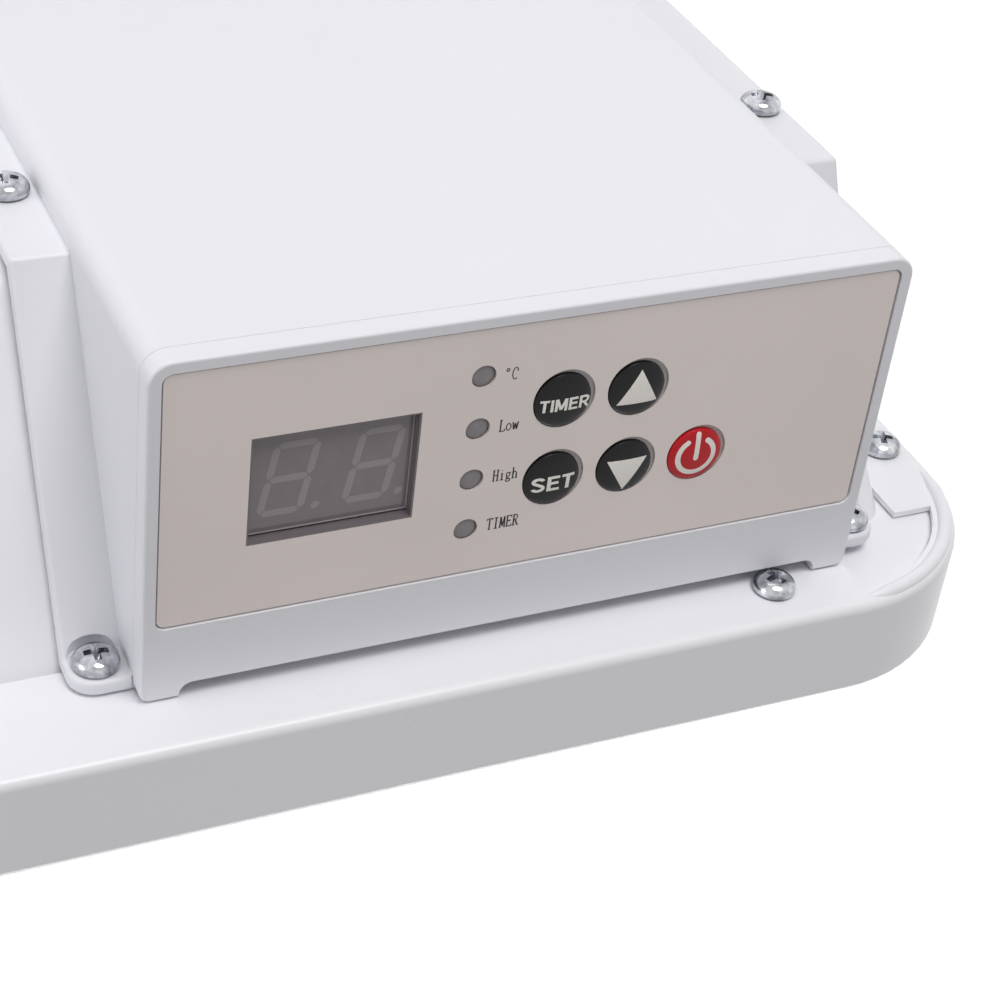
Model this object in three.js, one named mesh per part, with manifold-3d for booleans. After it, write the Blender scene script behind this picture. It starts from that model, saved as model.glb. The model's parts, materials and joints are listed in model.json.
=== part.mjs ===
// Wall panel convector heater with a control box on the upper right of its back.
//
// Millimetres. X runs to the right seen from the room, Y towards the wall and Z up.
// The origin is the middle of the back cover's flat rear face.

import * as THREE from 'three';
import { mergeVertices } from 'three/addons/utils/BufferGeometryUtils.js';
import Module from 'manifold-3d';

const wasm = await Module();
wasm.setup();

// ---------------------------------------------------------------- driving sizes

const PANEL_WIDTH = 600;
const PANEL_HEIGHT = 430;
const SEAT_GAP = 0.3; // between pieces that touch
const CUT_OVER = 1; // how far a cutting tool reaches past what it cuts
const TRIM_OVER = 20; // the same for the blocks that trim the control box
const SINK = 0.5; // how far a joined piece sinks into the one that it stands on

// front shell: one steel pan with folded rear flanges
const SHELL_DEPTH = 18;
const SHELL_SHEET = 1;
const CORNER_RADIUS = 30;
const BEND_RADIUS = 3;
const TOP_FLANGE = 20.1;
const SIDE_FLANGE = 13;
const CORNER_NOTCH = 29; // the flanges stop this far from the panel's sides
const CORNER_LIP = 4; // what is left of the flange round each corner

// outlet grille: louvres pressed into the front face
const LOUVRE_COLUMNS = 4;
const LOUVRE_ROWS = 5;
const LOUVRE_LENGTH = 122;
const LOUVRE_HEIGHT = 6;
const LOUVRE_BRIDGE = 12; // metal between two columns
const LOUVRE_PITCH = 11;
const LOUVRE_TOP_MARGIN = 32;
const LOUVRE_BLADE = 8;
const LOUVRE_TILT = 48; // degrees from the face

// back cover: a sheet with a raised middle
const COVER_SHEET = 0.8;
const COVER_EDGE_GAP = 3.5; // from the cover's edge to the panel's outline
const HUMP_HEIGHT = 50.3; // flat rear face above the flanges
const HUMP_TOP_RUN = 26.7; // how far the top and bottom slopes lean in
const HUMP_SIDE_RUN = 9;
const HUMP_CORNER = 5;
const HUMP_SHOULDER = 3.5;
const HUMP_GAP = 1.1; // between the hump's foot and the flanges

// inlet slots in the bottom slope and keyholes in the flat
const INLET_COUNT = 20;
const INLET_WIDTH = 6;
const INLET_PITCH = 20;
const INLET_LOW = 12; // above the flanges
const INLET_HIGH = 40;
const KEYHOLE_SPACING = 240;
const KEYHOLE_ABOVE = 120;
const KEYHOLE_HEAD_RADIUS = 5;
const KEYHOLE_NECK_RADIUS = 2.7;
const KEYHOLE_RISE = 11;

// control housing and bezel
const BOX_WIDTH = 115.8;
const BOX_LENGTH = 130;
const BOX_FROM_SIDE = 29.1;
const BOX_FROM_TOP = 10;
const BOX_PROUD = 6.9; // above the cover's flat
const BOX_WALL = 2.5;
const BOX_EDGE_RADIUS = 3.5;
const BOX_RIB_PITCH = 24;
const BOX_RIB_HEIGHT = 2;
const BOX_RIB_THICKNESS = 1.5;
const BOX_RIB_FREE = 12; // from the last rib to the cover's slope
const BEZEL_DEPTH = 3.7;
const BEZEL_EDGE = 1.2;
const BEZEL_LOWER_RADIUS = 1.6;
const BEZEL_FOOT = 5.7;
const BEZEL_NOTCH = 2.4;
const BEZEL_NOTCH_RADIUS = 2;
const BEZEL_SPIGOT = 4.5;
const SPIGOT_WALL = 1.5;
const SPIGOT_RADIUS = 1.5;
const EAR_WIDTH = 8.6;
const EAR_THICKNESS = 2.5;
const EAR_RADIUS = 4;
const EAR_SETBACK = 3.2; // behind the bezel's face
const EAR_SCREW_FRONT = 7.2;
const EAR_SCREW_PITCH = 47;
const EAR_SCREW_END = 9;
const SCREW_POCKET_RADIUS = 5;
const SCREW_POCKET_HEIGHT = 5.5;
const EAR_HOLE_DEPTH = 6; // below a screw's seat

// fascia label in the bezel's recess
const LABEL_SIDE_MARGIN = 1.9;
const LABEL_TOP_MARGIN = 1.8;
const LABEL_HEIGHT = 42.4;
const LABEL_RADIUS = 2.5;
const LABEL_THICKNESS = 0.4;
const LABEL_SUNK = 0.3;
const BEZEL_PLATE = 2.3;

// display, lamps and buttons, from the label's lower left corner
const DISPLAY_LEFT = 12.7;
const DISPLAY_BOTTOM = 12.4;
const DISPLAY_WIDTH = 24.6;
const DISPLAY_HEIGHT = 17.6;
const DISPLAY_SUNK = 1.6;
const DISPLAY_LENS = 1;
const LAMP_X = 46;
const LAMP_LOWEST = 8.1;
const LAMP_PITCH = 8.75;
const LAMP_COUNT = 4;
const LAMP_RADIUS = 1.74;
const LAMP_CLEARANCE = 0.15;
const LAMP_EDGE = 0.25;
const LAMP_FOOT = 0.8; // the foot's reach past the lens
const LAMP_FOOT_HEIGHT = 2.5;
const BUTTON_LEFT = 58.75;
const BUTTON_LOWER = 14.7;
const BUTTON_PITCH = 11.72;
const BUTTON_RISE = 13.6;
const BUTTON_RADIUS = 4.42;
const BUTTON_CLEARANCE = 0.35;
const BUTTON_FLANGE_RADIUS = 5.4;
const BUTTON_FLANGE = 1;
const BUTTON_DOME = 0.6;
const BUTTON_STEM_RADIUS = 1.5;
const BUTTON_TRAVEL = 0.5;
const BUTTON_REST = 0.1; // between a pressed stem and its switch

// boards and what they carry
const BOARD_THICKNESS = 1.6;
const CONTROL_BOARD_DEPTH = 12; // behind the bezel's face
const CONTROL_BOARD_MARGIN = 5;
const CONTROL_BOARD_LOW = 3; // above the label's lower edge
const POWER_BOARD_DEPTH = 25.5;
const POWER_BOARD_HEIGHT = 21;
const POWER_BOARD_WIDTH = 98;
const POWER_BOARD_ROOM = 2; // under the housing's roof
const POWER_PART_GAP = 3;
const POWER_PART_RADIUS = 1;
const SWITCH_SIZE = 6;
const SWITCH_HEIGHT = 3.5;
const SWITCH_PLUNGER_RADIUS = 1.6;
const SWITCH_PLUNGER = 0.8;
const POST_RADIUS = 2.4;
const POST_INSET = 5;
const HOLE_START = 3; // the face's holes start this far in front of the board
const RELAY_SIZE = [19, 15, 9];
const TRANSFORMER_SIZE = [24, 17, 9.5];
const TERMINAL_SIZE = [20, 12, 8];
const TERMINAL_WAYS = 4;
const TERMINAL_HOLE = 2.4;
const TERMINAL_HOLE_DEPTH = 5;
const TERMINAL_HOLE_ABOVE = 2; // above the board

// heating elements and their holders
const ELEMENT_END_ROOM = 70; // from the elements' ends to the panel's sides
const ELEMENT_FROM_TOP = 197; // the upper element's axis below the panel's top
const ELEMENT_PITCH = 78;
const ELEMENT_DEPTH = 36; // element axes in front of the rear face
const ELEMENT_BOSS_RADIUS = 7;
const ELEMENT_ARM = 24;
const ELEMENT_ARM_THICKNESS = 2.6;
const ELEMENT_ARM_TILT = 32; // degrees from the vertical
const ELEMENT_FINS = 3;
const ELEMENT_FIN_PITCH = 6;
const ELEMENT_FIN_REACH = 4.5;
const ELEMENT_FIN_THICKNESS = 1.6;
const ELEMENT_FIN_SETBACK = 0.8; // from the arm's end to the first fin's middle
const ELEMENT_PIN_RADIUS = 5;
const ELEMENT_PIN = 15;
const BUSH_WALL = 3.5;
const BUSH_LENGTH = 8;
const BUSH_COLLAR = 2;
const BRACKET_SHEET = 1.2;
const BRACKET_MARGIN = 22;
const BRACKET_FOOT = 14;
const BRACKET_RADIUS = 4;
const REFLECTOR_GAP = 9; // reflector in front of the cover's flat
const REFLECTOR_SHEET = 0.6;
const REFLECTOR_HEIGHT = 168;
const REFLECTOR_END_GAP = 8;
const REFLECTOR_LIP = 10;
const CUTOUT_RADIUS = 8;
const CUTOUT_HEIGHT = 9;
const CUTOUT_ABOVE = 62;
const CUTOUT_EAR = 12; // half the seat's length
const CUTOUT_EAR_WIDTH = 8;
const CUTOUT_EAR_RADIUS = 3;
const CUTOUT_EAR_SHEET = 1;

// openings for wires and the supply cord
const GROMMET_HOLE = 8;
const GROMMET_BORE = 5;
const GROMMET_FLANGE = 2; // reach and thickness of its lips
const GROMMET_BEHIND = 58; // behind the bezel's face
const GLAND_FROM_SIDE = 70;
const GLAND_UP_SLOPE = 26;
const GLAND_NECK = 6.5;
const GLAND_FLANGE = 10;
const GLAND_BORE = 3.6;
const GLAND_NOSE = 13;
const GLAND_NOSE_WALL = 1.6;
const GLAND_COLLAR = 3;
const GLAND_SHOULDER = 2.5;
const GLAND_NUT = 4;
const GLAND_NUT_INSET = 1;

// screws
const SCREW_HEAD_RADIUS = 3.75;
const SCREW_HEAD = 2.3;
const SCREW_SHANK_RADIUS = 1.5;
const SCREW_LENGTH = 8;
const SCREW_CLEARANCE = 0.4;
const SCREW_RECESS = 1.2;
const SCREW_RECESS_WIDTH = 0.9;
const SCREW_RECESS_LENGTH = 4;
const ROW_SCREW_MARGIN = 8; // screws along the top and bottom, from those edges
const ROW_SCREW_END = 43; // the outer ones, from the panel's sides
const SIDE_SCREW_MARGIN = 5.6; // screws along the sides, from those edges
const SIDE_SCREW_END = 37; // from the panel's top and bottom

// ---------------------------------------------------------------- places worked out from them

const HALF_WIDTH = PANEL_WIDTH / 2;
const HALF_HEIGHT = PANEL_HEIGHT / 2;
const FLANGE_Y = -HUMP_HEIGHT;
const FRONT_Y = FLANGE_Y - SHELL_DEPTH;
const MARGIN_Y = FLANGE_Y - SHELL_SHEET - SEAT_GAP; // rear side of the cover's flat margin
const COVER_INSIDE_Y = -COVER_SHEET - SEAT_GAP; // where pieces inside rest on the cover's flat
const SLOPE_FOOT_Z = HALF_HEIGHT - TOP_FLANGE - HUMP_GAP;
const SLOPE_STRETCH = Math.hypot(HUMP_TOP_RUN, HUMP_HEIGHT) / HUMP_HEIGHT;

const BOX_RIGHT = HALF_WIDTH - BOX_FROM_SIDE;
const BOX_LEFT = BOX_RIGHT - BOX_WIDTH;
const BOX_MID = (BOX_LEFT + BOX_RIGHT) / 2;
const FACE_Z = HALF_HEIGHT - BOX_FROM_TOP;
const SEAM_Z = FACE_Z - BEZEL_DEPTH;
const BOX_END_Z = FACE_Z - BOX_LENGTH;
const BOX_FLOOR_Y = FLANGE_Y + SEAT_GAP;
const EAR_TOP = SEAT_GAP + EAR_THICKNESS;

const LABEL_LEFT = BOX_LEFT + LABEL_SIDE_MARGIN;
const LABEL_RIGHT = BOX_RIGHT - LABEL_SIDE_MARGIN;
const LABEL_TOP = BOX_PROUD - LABEL_TOP_MARGIN;
const LABEL_BOTTOM = LABEL_TOP - LABEL_HEIGHT;
const LABEL_Z = FACE_Z - LABEL_SUNK; // the label's own face
const RECESS_Z = LABEL_Z - LABEL_THICKNESS - SEAT_GAP;
const PLATE_BACK_Z = RECESS_Z - BEZEL_PLATE;

const CONTROL_BOARD_Z = FACE_Z - CONTROL_BOARD_DEPTH; // its front side
const POWER_BOARD_Z = FACE_Z - POWER_BOARD_DEPTH;

const ELEMENT_LENGTH = PANEL_WIDTH - 2 * ELEMENT_END_ROOM;
const ELEMENT_UPPER_Z = HALF_HEIGHT - ELEMENT_FROM_TOP;
const ELEMENT_LOWER_Z = ELEMENT_UPPER_Z - ELEMENT_PITCH;
const HOLE_RADIUS = SCREW_SHANK_RADIUS + SCREW_CLEARANCE;
const HOLE_SIDES = 8;
const PIN_HOLE = ELEMENT_PIN_RADIUS + SEAT_GAP;
const BUSH_RADIUS = PIN_HOLE + BUSH_WALL;
const BRACKET_HOLE = BUSH_RADIUS + SEAT_GAP;
const BRACKET_X = ELEMENT_LENGTH / 2 + BUSH_COLLAR + SEAT_GAP * 2;

// ---------------------------------------------------------------- materials

function paint(color, roughness, metalness = 0) {
  return new THREE.MeshStandardMaterial({ color, roughness, metalness });
}

const MATERIAL = {
  whiteSteel: paint(0xeeeef0, 0.35, 0.1),
  whiteAbs: paint(0xe9e9ee, 0.4),
  silverFilm: paint(0xb3aaa6, 0.38, 0.25),
  smokedLens: paint(0x5e595c, 0.12),
  displayGrey: paint(0x4c484b, 0.5),
  lampGrey: paint(0x8a8583, 0.3),
  blackCap: paint(0x141416, 0.35),
  redCap: paint(0xb5202a, 0.35),
  greenBoard: paint(0x1d5a34, 0.5),
  blackPart: paint(0x222225, 0.5),
  blueRelay: paint(0x2a57a5, 0.45),
  zinc: paint(0xb9bcc0, 0.3, 1),
  aluminium: paint(0xc6c8ca, 0.4, 1),
  galvanised: paint(0xa9adb0, 0.45, 1),
  ceramic: paint(0xe6e0d2, 0.6),
  rubber: paint(0x202022, 0.8),
  cream: paint(0xd9d2bd, 0.5),
};

// ---------------------------------------------------------------- solids

function solid(geometry) {
  const bare = new THREE.BufferGeometry();
  bare.setAttribute('position', geometry.getAttribute('position'));
  bare.setIndex(geometry.getIndex());
  const merged = mergeVertices(bare, 1e-4);
  const vertProperties = new Float32Array(merged.getAttribute('position').array);
  const triVerts = new Uint32Array(merged.getIndex().array);
  return new wasm.Manifold(new wasm.Mesh({ numProp: 3, vertProperties, triVerts }));
}

function geometryOf(body) {
  const mesh = body.getMesh();
  const geometry = new THREE.BufferGeometry();
  geometry.setAttribute('position', new THREE.BufferAttribute(new Float32Array(mesh.vertProperties), 3));
  geometry.setIndex(new THREE.BufferAttribute(new Uint32Array(mesh.triVerts), 1));
  geometry.computeVertexNormals();
  return geometry;
}

const join = (...bodies) => bodies.reduce((sum, body) => sum.add(body));
const cut = (body, ...tools) => tools.reduce((rest, tool) => rest.subtract(tool), body);
const common = (...bodies) => bodies.reduce((sum, body) => sum.intersect(body));

function block(x0, x1, y0, y1, z0, z1) {
  const geometry = new THREE.BoxGeometry(x1 - x0, y1 - y0, z1 - z0);
  geometry.translate((x0 + x1) / 2, (y0 + y1) / 2, (z0 + z1) / 2);
  return solid(geometry);
}

// A shape drawn in two axes, pushed along the third. `bevel` rounds both ends' edges.
function pushed(shape, length, axes, origin, options = {}) {
  const { curveSegments = 3, bevel = 0, bevelSegments = 3 } = options;
  const geometry = new THREE.ExtrudeGeometry(shape, {
    depth: length - 2 * bevel,
    curveSegments,
    bevelEnabled: bevel > 0,
    bevelThickness: bevel,
    bevelSize: bevel,
    bevelOffset: -bevel,
    bevelSegments,
  });
  geometry.translate(0, 0, bevel);
  geometry.applyMatrix4(new THREE.Matrix4().makeBasis(...axes));
  geometry.translate(...origin);
  return solid(geometry);
}

const X_AXIS = new THREE.Vector3(1, 0, 0);
const Y_AXIS = new THREE.Vector3(0, 1, 0);
const Z_AXIS = new THREE.Vector3(0, 0, 1);
const BACKWARD = new THREE.Vector3(0, -1, 0);

const alongX = (shape, x0, x1, options) =>
  pushed(shape, x1 - x0, [Y_AXIS, Z_AXIS, X_AXIS], [x0, 0, 0], options);
const alongY = (shape, y0, y1, options) =>
  pushed(shape, y1 - y0, [X_AXIS, Z_AXIS, BACKWARD], [0, y1, 0], options);
const alongZ = (shape, z0, z1, options) =>
  pushed(shape, z1 - z0, [X_AXIS, Y_AXIS, Z_AXIS], [0, 0, z0], options);

// The range from a to b on the positive side of the middle, or its mirror image.
const span = (side, a, b) => (side > 0 ? [a, b] : [-b, -a]);

function polygon(points) {
  return new THREE.Shape(points.map(([a, b]) => new THREE.Vector2(a, b)));
}

// Rectangle from (a0, b0) to (a1, b1); the lower and upper corners can have radii of their own.
function roundedRectangle(a0, b0, a1, b1, radius, lowerRadius = radius) {
  const shape = new THREE.Shape();
  shape.moveTo(a0 + lowerRadius, b0);
  shape.lineTo(a1 - lowerRadius, b0);
  shape.absarc(a1 - lowerRadius, b0 + lowerRadius, lowerRadius, -Math.PI / 2, 0);
  shape.lineTo(a1, b1 - radius);
  shape.absarc(a1 - radius, b1 - radius, radius, 0, Math.PI / 2);
  shape.lineTo(a0 + radius, b1);
  shape.absarc(a0 + radius, b1 - radius, radius, Math.PI / 2, Math.PI);
  shape.lineTo(a0, b0 + lowerRadius);
  shape.absarc(a0 + lowerRadius, b0 + lowerRadius, lowerRadius, Math.PI, Math.PI * 1.5);
  return shape;
}

const centredRectangle = (halfA, halfB, radius) => roundedRectangle(-halfA, -halfB, halfA, halfB, radius);

// A profile of [radius, height] points turned about Z; it starts and ends on the axis.
function turnedGeometry(profile, segments) {
  const points = profile.map(([radius, height]) => new THREE.Vector2(radius, height));
  const geometry = new THREE.LatheGeometry(points, segments);
  geometry.rotateX(Math.PI / 2);
  return geometry;
}

function turned(profile, segments = 24, origin = [0, 0, 0]) {
  const geometry = turnedGeometry(profile, segments);
  geometry.translate(...origin);
  return solid(geometry);
}

const rod = (radius, z0, z1, x, y, segments = 24) =>
  turned([[0, z0], [radius, z0], [radius, z1], [0, z1]], segments, [x, y, 0]);

// The same rod lying along Y.
function rodAlongY(radius, y0, y1, x, z, segments = 16) {
  const geometry = turnedGeometry([[0, -y1], [radius, -y1], [radius, -y0], [0, -y0]], segments);
  geometry.rotateX(Math.PI / 2);
  geometry.translate(x, 0, z);
  return solid(geometry);
}

// The same rod lying along X.
function rodAlongX(radius, x0, x1, y, z, segments = 16) {
  const geometry = turnedGeometry([[0, x0], [radius, x0], [radius, x1], [0, x1]], segments);
  geometry.rotateY(Math.PI / 2);
  geometry.translate(0, y, z);
  return solid(geometry);
}

// Skin over rings of equally many points, closed at both ends by flat fans.
function loft(rings) {
  const count = rings[0].length;
  const positions = rings.flat().flatMap((point) => point.toArray());
  const index = [];
  for (let ring = 0; ring + 1 < rings.length; ring += 1) {
    for (let step = 0; step < count; step += 1) {
      const a = ring * count + step;
      const b = ring * count + ((step + 1) % count);
      index.push(a, b, b + count, a, b + count, a + count);
    }
  }
  const last = (rings.length - 1) * count;
  for (let step = 1; step + 1 < count; step += 1) {
    index.push(0, step + 1, step);
    index.push(last, last + step, last + step + 1);
  }
  const geometry = new THREE.BufferGeometry();
  geometry.setAttribute('position', new THREE.Float32BufferAttribute(positions, 3));
  geometry.setIndex(index);
  return solid(geometry);
}

const scene = new THREE.Group();

function add(name, body, material) {
  const mesh = new THREE.Mesh(geometryOf(body), material);
  mesh.name = name;
  scene.add(mesh);
  return mesh;
}

// ---------------------------------------------------------------- screws

// Pan head with a cross recess; the seat under the head is at height 0 and the head points along Z.
function screwBody() {
  const head = SCREW_HEAD;
  const radius = SCREW_HEAD_RADIUS;
  const body = turned([
    [0, -SCREW_LENGTH],
    [SCREW_SHANK_RADIUS, -SCREW_LENGTH + SCREW_SHANK_RADIUS],
    [SCREW_SHANK_RADIUS, 0],
    [radius, 0],
    [radius, head * 0.35],
    [radius * 0.7, head],
    [0, head],
  ], 10);
  const floor = head - SCREW_RECESS;
  const half = SCREW_RECESS_LENGTH / 2;
  const width = SCREW_RECESS_WIDTH / 2;
  const slot = block(-half, half, -width, width, floor, head + CUT_OVER);
  const cross = block(-width, width, -half, half, floor, head + CUT_OVER);
  return cut(body, slot, cross);
}

const SCREW = screwBody();

// Screws face the wall: their heads point along +Y.
function addScrew(name, x, seatY, z) {
  const mesh = add(name, SCREW, MATERIAL.zinc);
  mesh.position.set(x, seatY + SEAT_GAP, z);
  mesh.rotation.x = -Math.PI / 2;
}

function edgeScrewPlaces() {
  const rowEndX = HALF_WIDTH - ROW_SCREW_END;
  const columnEndZ = HALF_HEIGHT - SIDE_SCREW_END;
  const places = [];
  for (const side of [-1, 1]) {
    const rowZ = side * (HALF_HEIGHT - ROW_SCREW_MARGIN);
    places.push([-rowEndX, rowZ], [0, rowZ], [rowEndX, rowZ]);
    const columnX = side * (HALF_WIDTH - SIDE_SCREW_MARGIN);
    places.push([columnX, -columnEndZ], [columnX, columnEndZ]);
  }
  return places;
}

// The control box's ears: one pair on the top flange, two pairs on the cover's flat.
function earScrewPlaces() {
  const places = [];
  for (const x of [BOX_LEFT - EAR_WIDTH / 2, BOX_RIGHT + EAR_WIDTH / 2]) {
    places.push({ x, seatY: FLANGE_Y + EAR_TOP, z: FACE_Z - EAR_SCREW_FRONT });
    places.push({ x, seatY: EAR_TOP, z: FACE_Z - EAR_SCREW_FRONT - EAR_SCREW_PITCH });
    places.push({ x, seatY: EAR_TOP, z: BOX_END_Z + EAR_SCREW_END });
  }
  return places;
}

// ---------------------------------------------------------------- front shell

function louvre(x0, x1, z0) {
  const radius = LOUVRE_HEIGHT / 2 - 0.01;
  const slot = alongY(
    roundedRectangle(x0, z0, x1, z0 + LOUVRE_HEIGHT, radius),
    FRONT_Y - CUT_OVER,
    FRONT_Y + SHELL_SHEET + CUT_OVER,
    { curveSegments: 1 },
  );
  const tilt = THREE.MathUtils.degToRad(LOUVRE_TILT);
  const rise = LOUVRE_BLADE * Math.cos(tilt);
  const depth = LOUVRE_BLADE * Math.sin(tilt);
  const thick = SHELL_SHEET / Math.sin(tilt);
  const blade = alongX(
    polygon([
      [FRONT_Y, z0 - thick],
      [FRONT_Y + depth, z0 - thick + rise],
      [FRONT_Y + depth, z0 + rise],
      [FRONT_Y, z0],
    ]),
    x0 + radius,
    x1 - radius,
  );
  return { slot, blade };
}

function outletGrille() {
  const louvres = [];
  const pitch = LOUVRE_LENGTH + LOUVRE_BRIDGE;
  const first = -(LOUVRE_COLUMNS * pitch - LOUVRE_BRIDGE) / 2;
  const topZ = HALF_HEIGHT - LOUVRE_TOP_MARGIN - LOUVRE_HEIGHT;
  for (let column = 0; column < LOUVRE_COLUMNS; column += 1) {
    for (let row = 0; row < LOUVRE_ROWS; row += 1) {
      const x0 = first + column * pitch;
      louvres.push(louvre(x0, x0 + LOUVRE_LENGTH, topZ - row * LOUVRE_PITCH));
    }
  }
  return louvres;
}

// What is open at the back of the shell: the middle for the hump, and the four corners inside the lips.
function shellRearOpening() {
  const inset = CORNER_LIP;
  const y0 = FLANGE_Y - SHELL_SHEET - CUT_OVER;
  const y1 = FLANGE_Y + CUT_OVER;
  const within = alongY(
    centredRectangle(HALF_WIDTH - inset, HALF_HEIGHT - inset, CORNER_RADIUS - inset),
    y0,
    y1,
  );
  const flangeHalfX = HALF_WIDTH - CORNER_NOTCH;
  const middleX = HALF_WIDTH - SIDE_FLANGE;
  const middleZ = HALF_HEIGHT - TOP_FLANGE;
  const strips = [];
  for (const side of [-1, 1]) {
    const flangeZ = span(side, middleZ, HALF_HEIGHT);
    const flangeX = span(side, middleX, HALF_WIDTH);
    strips.push(block(-flangeHalfX, flangeHalfX, y0 - CUT_OVER, y1 + CUT_OVER, ...flangeZ));
    strips.push(block(...flangeX, y0 - CUT_OVER, y1 + CUT_OVER, -middleZ, middleZ));
  }
  return cut(within, ...strips);
}

function frontShell() {
  const outer = alongY(
    centredRectangle(HALF_WIDTH, HALF_HEIGHT, CORNER_RADIUS),
    FRONT_Y,
    FLANGE_Y,
    { curveSegments: 4, bevel: BEND_RADIUS, bevelSegments: 2 },
  );
  const inner = alongY(
    centredRectangle(HALF_WIDTH - SHELL_SHEET, HALF_HEIGHT - SHELL_SHEET, CORNER_RADIUS - SHELL_SHEET),
    FRONT_Y + SHELL_SHEET,
    FLANGE_Y - SHELL_SHEET,
    { curveSegments: 4, bevel: BEND_RADIUS - SHELL_SHEET, bevelSegments: 2 },
  );
  const louvres = outletGrille();
  const onFlange = earScrewPlaces().filter(({ seatY }) => seatY < FLANGE_Y / 2);
  const holes = [...edgeScrewPlaces(), ...onFlange.map(({ x, z }) => [x, z])].map(([x, z]) =>
    rodAlongY(HOLE_RADIUS, FLANGE_Y - SHELL_SHEET - CUT_OVER, FLANGE_Y + CUT_OVER, x, z, HOLE_SIDES));
  const pan = cut(outer, inner, shellRearOpening(), ...holes, ...louvres.map(({ slot }) => slot));
  return join(pan, ...louvres.map(({ blade }) => blade));
}

// ---------------------------------------------------------------- back cover

function ringPoints(halfX, halfZ, radius, y, steps = 3) {
  const points = [];
  const corners = [[1, 1], [-1, 1], [-1, -1], [1, -1]];
  corners.forEach(([signX, signZ], quarter) => {
    for (let step = 0; step <= steps; step += 1) {
      const angle = (quarter + step / steps) * (Math.PI / 2);
      const x = signX * (halfX - radius) + radius * Math.cos(angle);
      const z = signZ * (halfZ - radius) + radius * Math.sin(angle);
      points.push(new THREE.Vector3(x, y, z));
    }
  });
  return points.reverse();
}

// The hump's skin, moved inwards by `depth`; it starts at height `from` above the flanges.
function hump(depth, from) {
  const height = HUMP_HEIGHT - depth;
  const sideStretch = Math.hypot(HUMP_SIDE_RUN, HUMP_HEIGHT) / HUMP_HEIGHT;
  const insetX = (h) => SIDE_FLANGE + HUMP_GAP + (HUMP_SIDE_RUN * h) / HUMP_HEIGHT + depth * sideStretch;
  const insetZ = (h) => TOP_FLANGE + HUMP_GAP + (HUMP_TOP_RUN * h) / HUMP_HEIGHT + depth * SLOPE_STRETCH;
  const ring = (x, z, h) => ringPoints(HALF_WIDTH - x, HALF_HEIGHT - z, HUMP_CORNER, FLANGE_Y + h);
  const rings = [ring(insetX(from), insetZ(from), from)];
  const low = height - HUMP_SHOULDER;
  for (const t of [0, 0.35, 0.7, 1]) {
    const a = (1 - t) ** 2;
    const b = 2 * t * (1 - t);
    const c = t ** 2;
    const x = a * insetX(low) + b * insetX(height) + c * (insetX(height) + HUMP_SHOULDER);
    const z = a * insetZ(low) + b * insetZ(height) + c * (insetZ(height) + HUMP_SHOULDER);
    rings.push(ring(x, z, a * low + (b + c) * height));
  }
  return loft(rings);
}

function inletSlots() {
  const slots = [];
  const first = (-(INLET_COUNT - 1) * INLET_PITCH) / 2;
  const radius = INLET_WIDTH / 2 - 0.01;
  for (let index = 0; index < INLET_COUNT; index += 1) {
    const x = first + index * INLET_PITCH;
    if (x > GLAND_X - 2 * GLAND_FLANGE) continue;
    const shape = roundedRectangle(
      x - INLET_WIDTH / 2, FLANGE_Y + INLET_LOW, x + INLET_WIDTH / 2, FLANGE_Y + INLET_HIGH, radius);
    slots.push(alongZ(shape, -HALF_HEIGHT, -SLOPE_FOOT_Z + HUMP_TOP_RUN, { curveSegments: 1 }));
  }
  return slots;
}

function keyholes() {
  return [-1, 1].map((side) => {
    const x = (side * KEYHOLE_SPACING) / 2;
    const top = KEYHOLE_ABOVE + KEYHOLE_RISE;
    const through = [-COVER_SHEET - CUT_OVER, CUT_OVER];
    const head = rodAlongY(KEYHOLE_HEAD_RADIUS, ...through, x, KEYHOLE_ABOVE, 16);
    const end = rodAlongY(KEYHOLE_NECK_RADIUS, ...through, x, top, 12);
    const neck = block(x - KEYHOLE_NECK_RADIUS, x + KEYHOLE_NECK_RADIUS, ...through, KEYHOLE_ABOVE, top);
    return join(head, end, neck);
  });
}

const GROMMET_Z = FACE_Z - GROMMET_BEHIND;

// The gland stands square on the bottom slope.
const GLAND_X = HALF_WIDTH - GLAND_FROM_SIDE;
const GLAND_TILT = Math.atan2(HUMP_TOP_RUN, HUMP_HEIGHT);
const GLAND_Y = FLANGE_Y + GLAND_UP_SLOPE;
const GLAND_Z = -(SLOPE_FOOT_Z - (HUMP_TOP_RUN * GLAND_UP_SLOPE) / HUMP_HEIGHT);

function glandHole() {
  const reach = GLAND_NUT;
  const geometry = turnedGeometry([[0, -reach], [GLAND_NECK, -reach], [GLAND_NECK, reach], [0, reach]], 16);
  geometry.rotateX(Math.PI + GLAND_TILT);
  geometry.translate(GLAND_X, GLAND_Y, GLAND_Z);
  return solid(geometry);
}

function backCover() {
  const edge = COVER_EDGE_GAP;
  const margin = alongY(
    centredRectangle(HALF_WIDTH - edge, HALF_HEIGHT - edge, CORNER_RADIUS - edge),
    MARGIN_Y - COVER_SHEET,
    MARGIN_Y,
  );
  const start = -SHELL_SHEET - SEAT_GAP - COVER_SHEET;
  const skin = join(margin, hump(0, start + COVER_SHEET / 2));
  const screwHoles = edgeScrewPlaces().map(([x, z]) =>
    rodAlongY(HOLE_RADIUS, MARGIN_Y - COVER_SHEET - CUT_OVER, MARGIN_Y + CUT_OVER, x, z, HOLE_SIDES));
  const earHoles = earScrewPlaces().map(({ x, seatY, z }) =>
    rodAlongY(HOLE_RADIUS, seatY - SCREW_LENGTH, seatY, x, z, HOLE_SIDES));
  const wireHole = rodAlongY(GROMMET_HOLE, -COVER_SHEET - CUT_OVER, CUT_OVER, BOX_MID, GROMMET_Z);
  return cut(
    skin,
    hump(COVER_SHEET, start - CUT_OVER),
    ...screwHoles,
    ...earHoles,
    ...inletSlots(),
    ...keyholes(),
    wireHole,
    glandHole(),
  );
}

// ---------------------------------------------------------------- control housing

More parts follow.
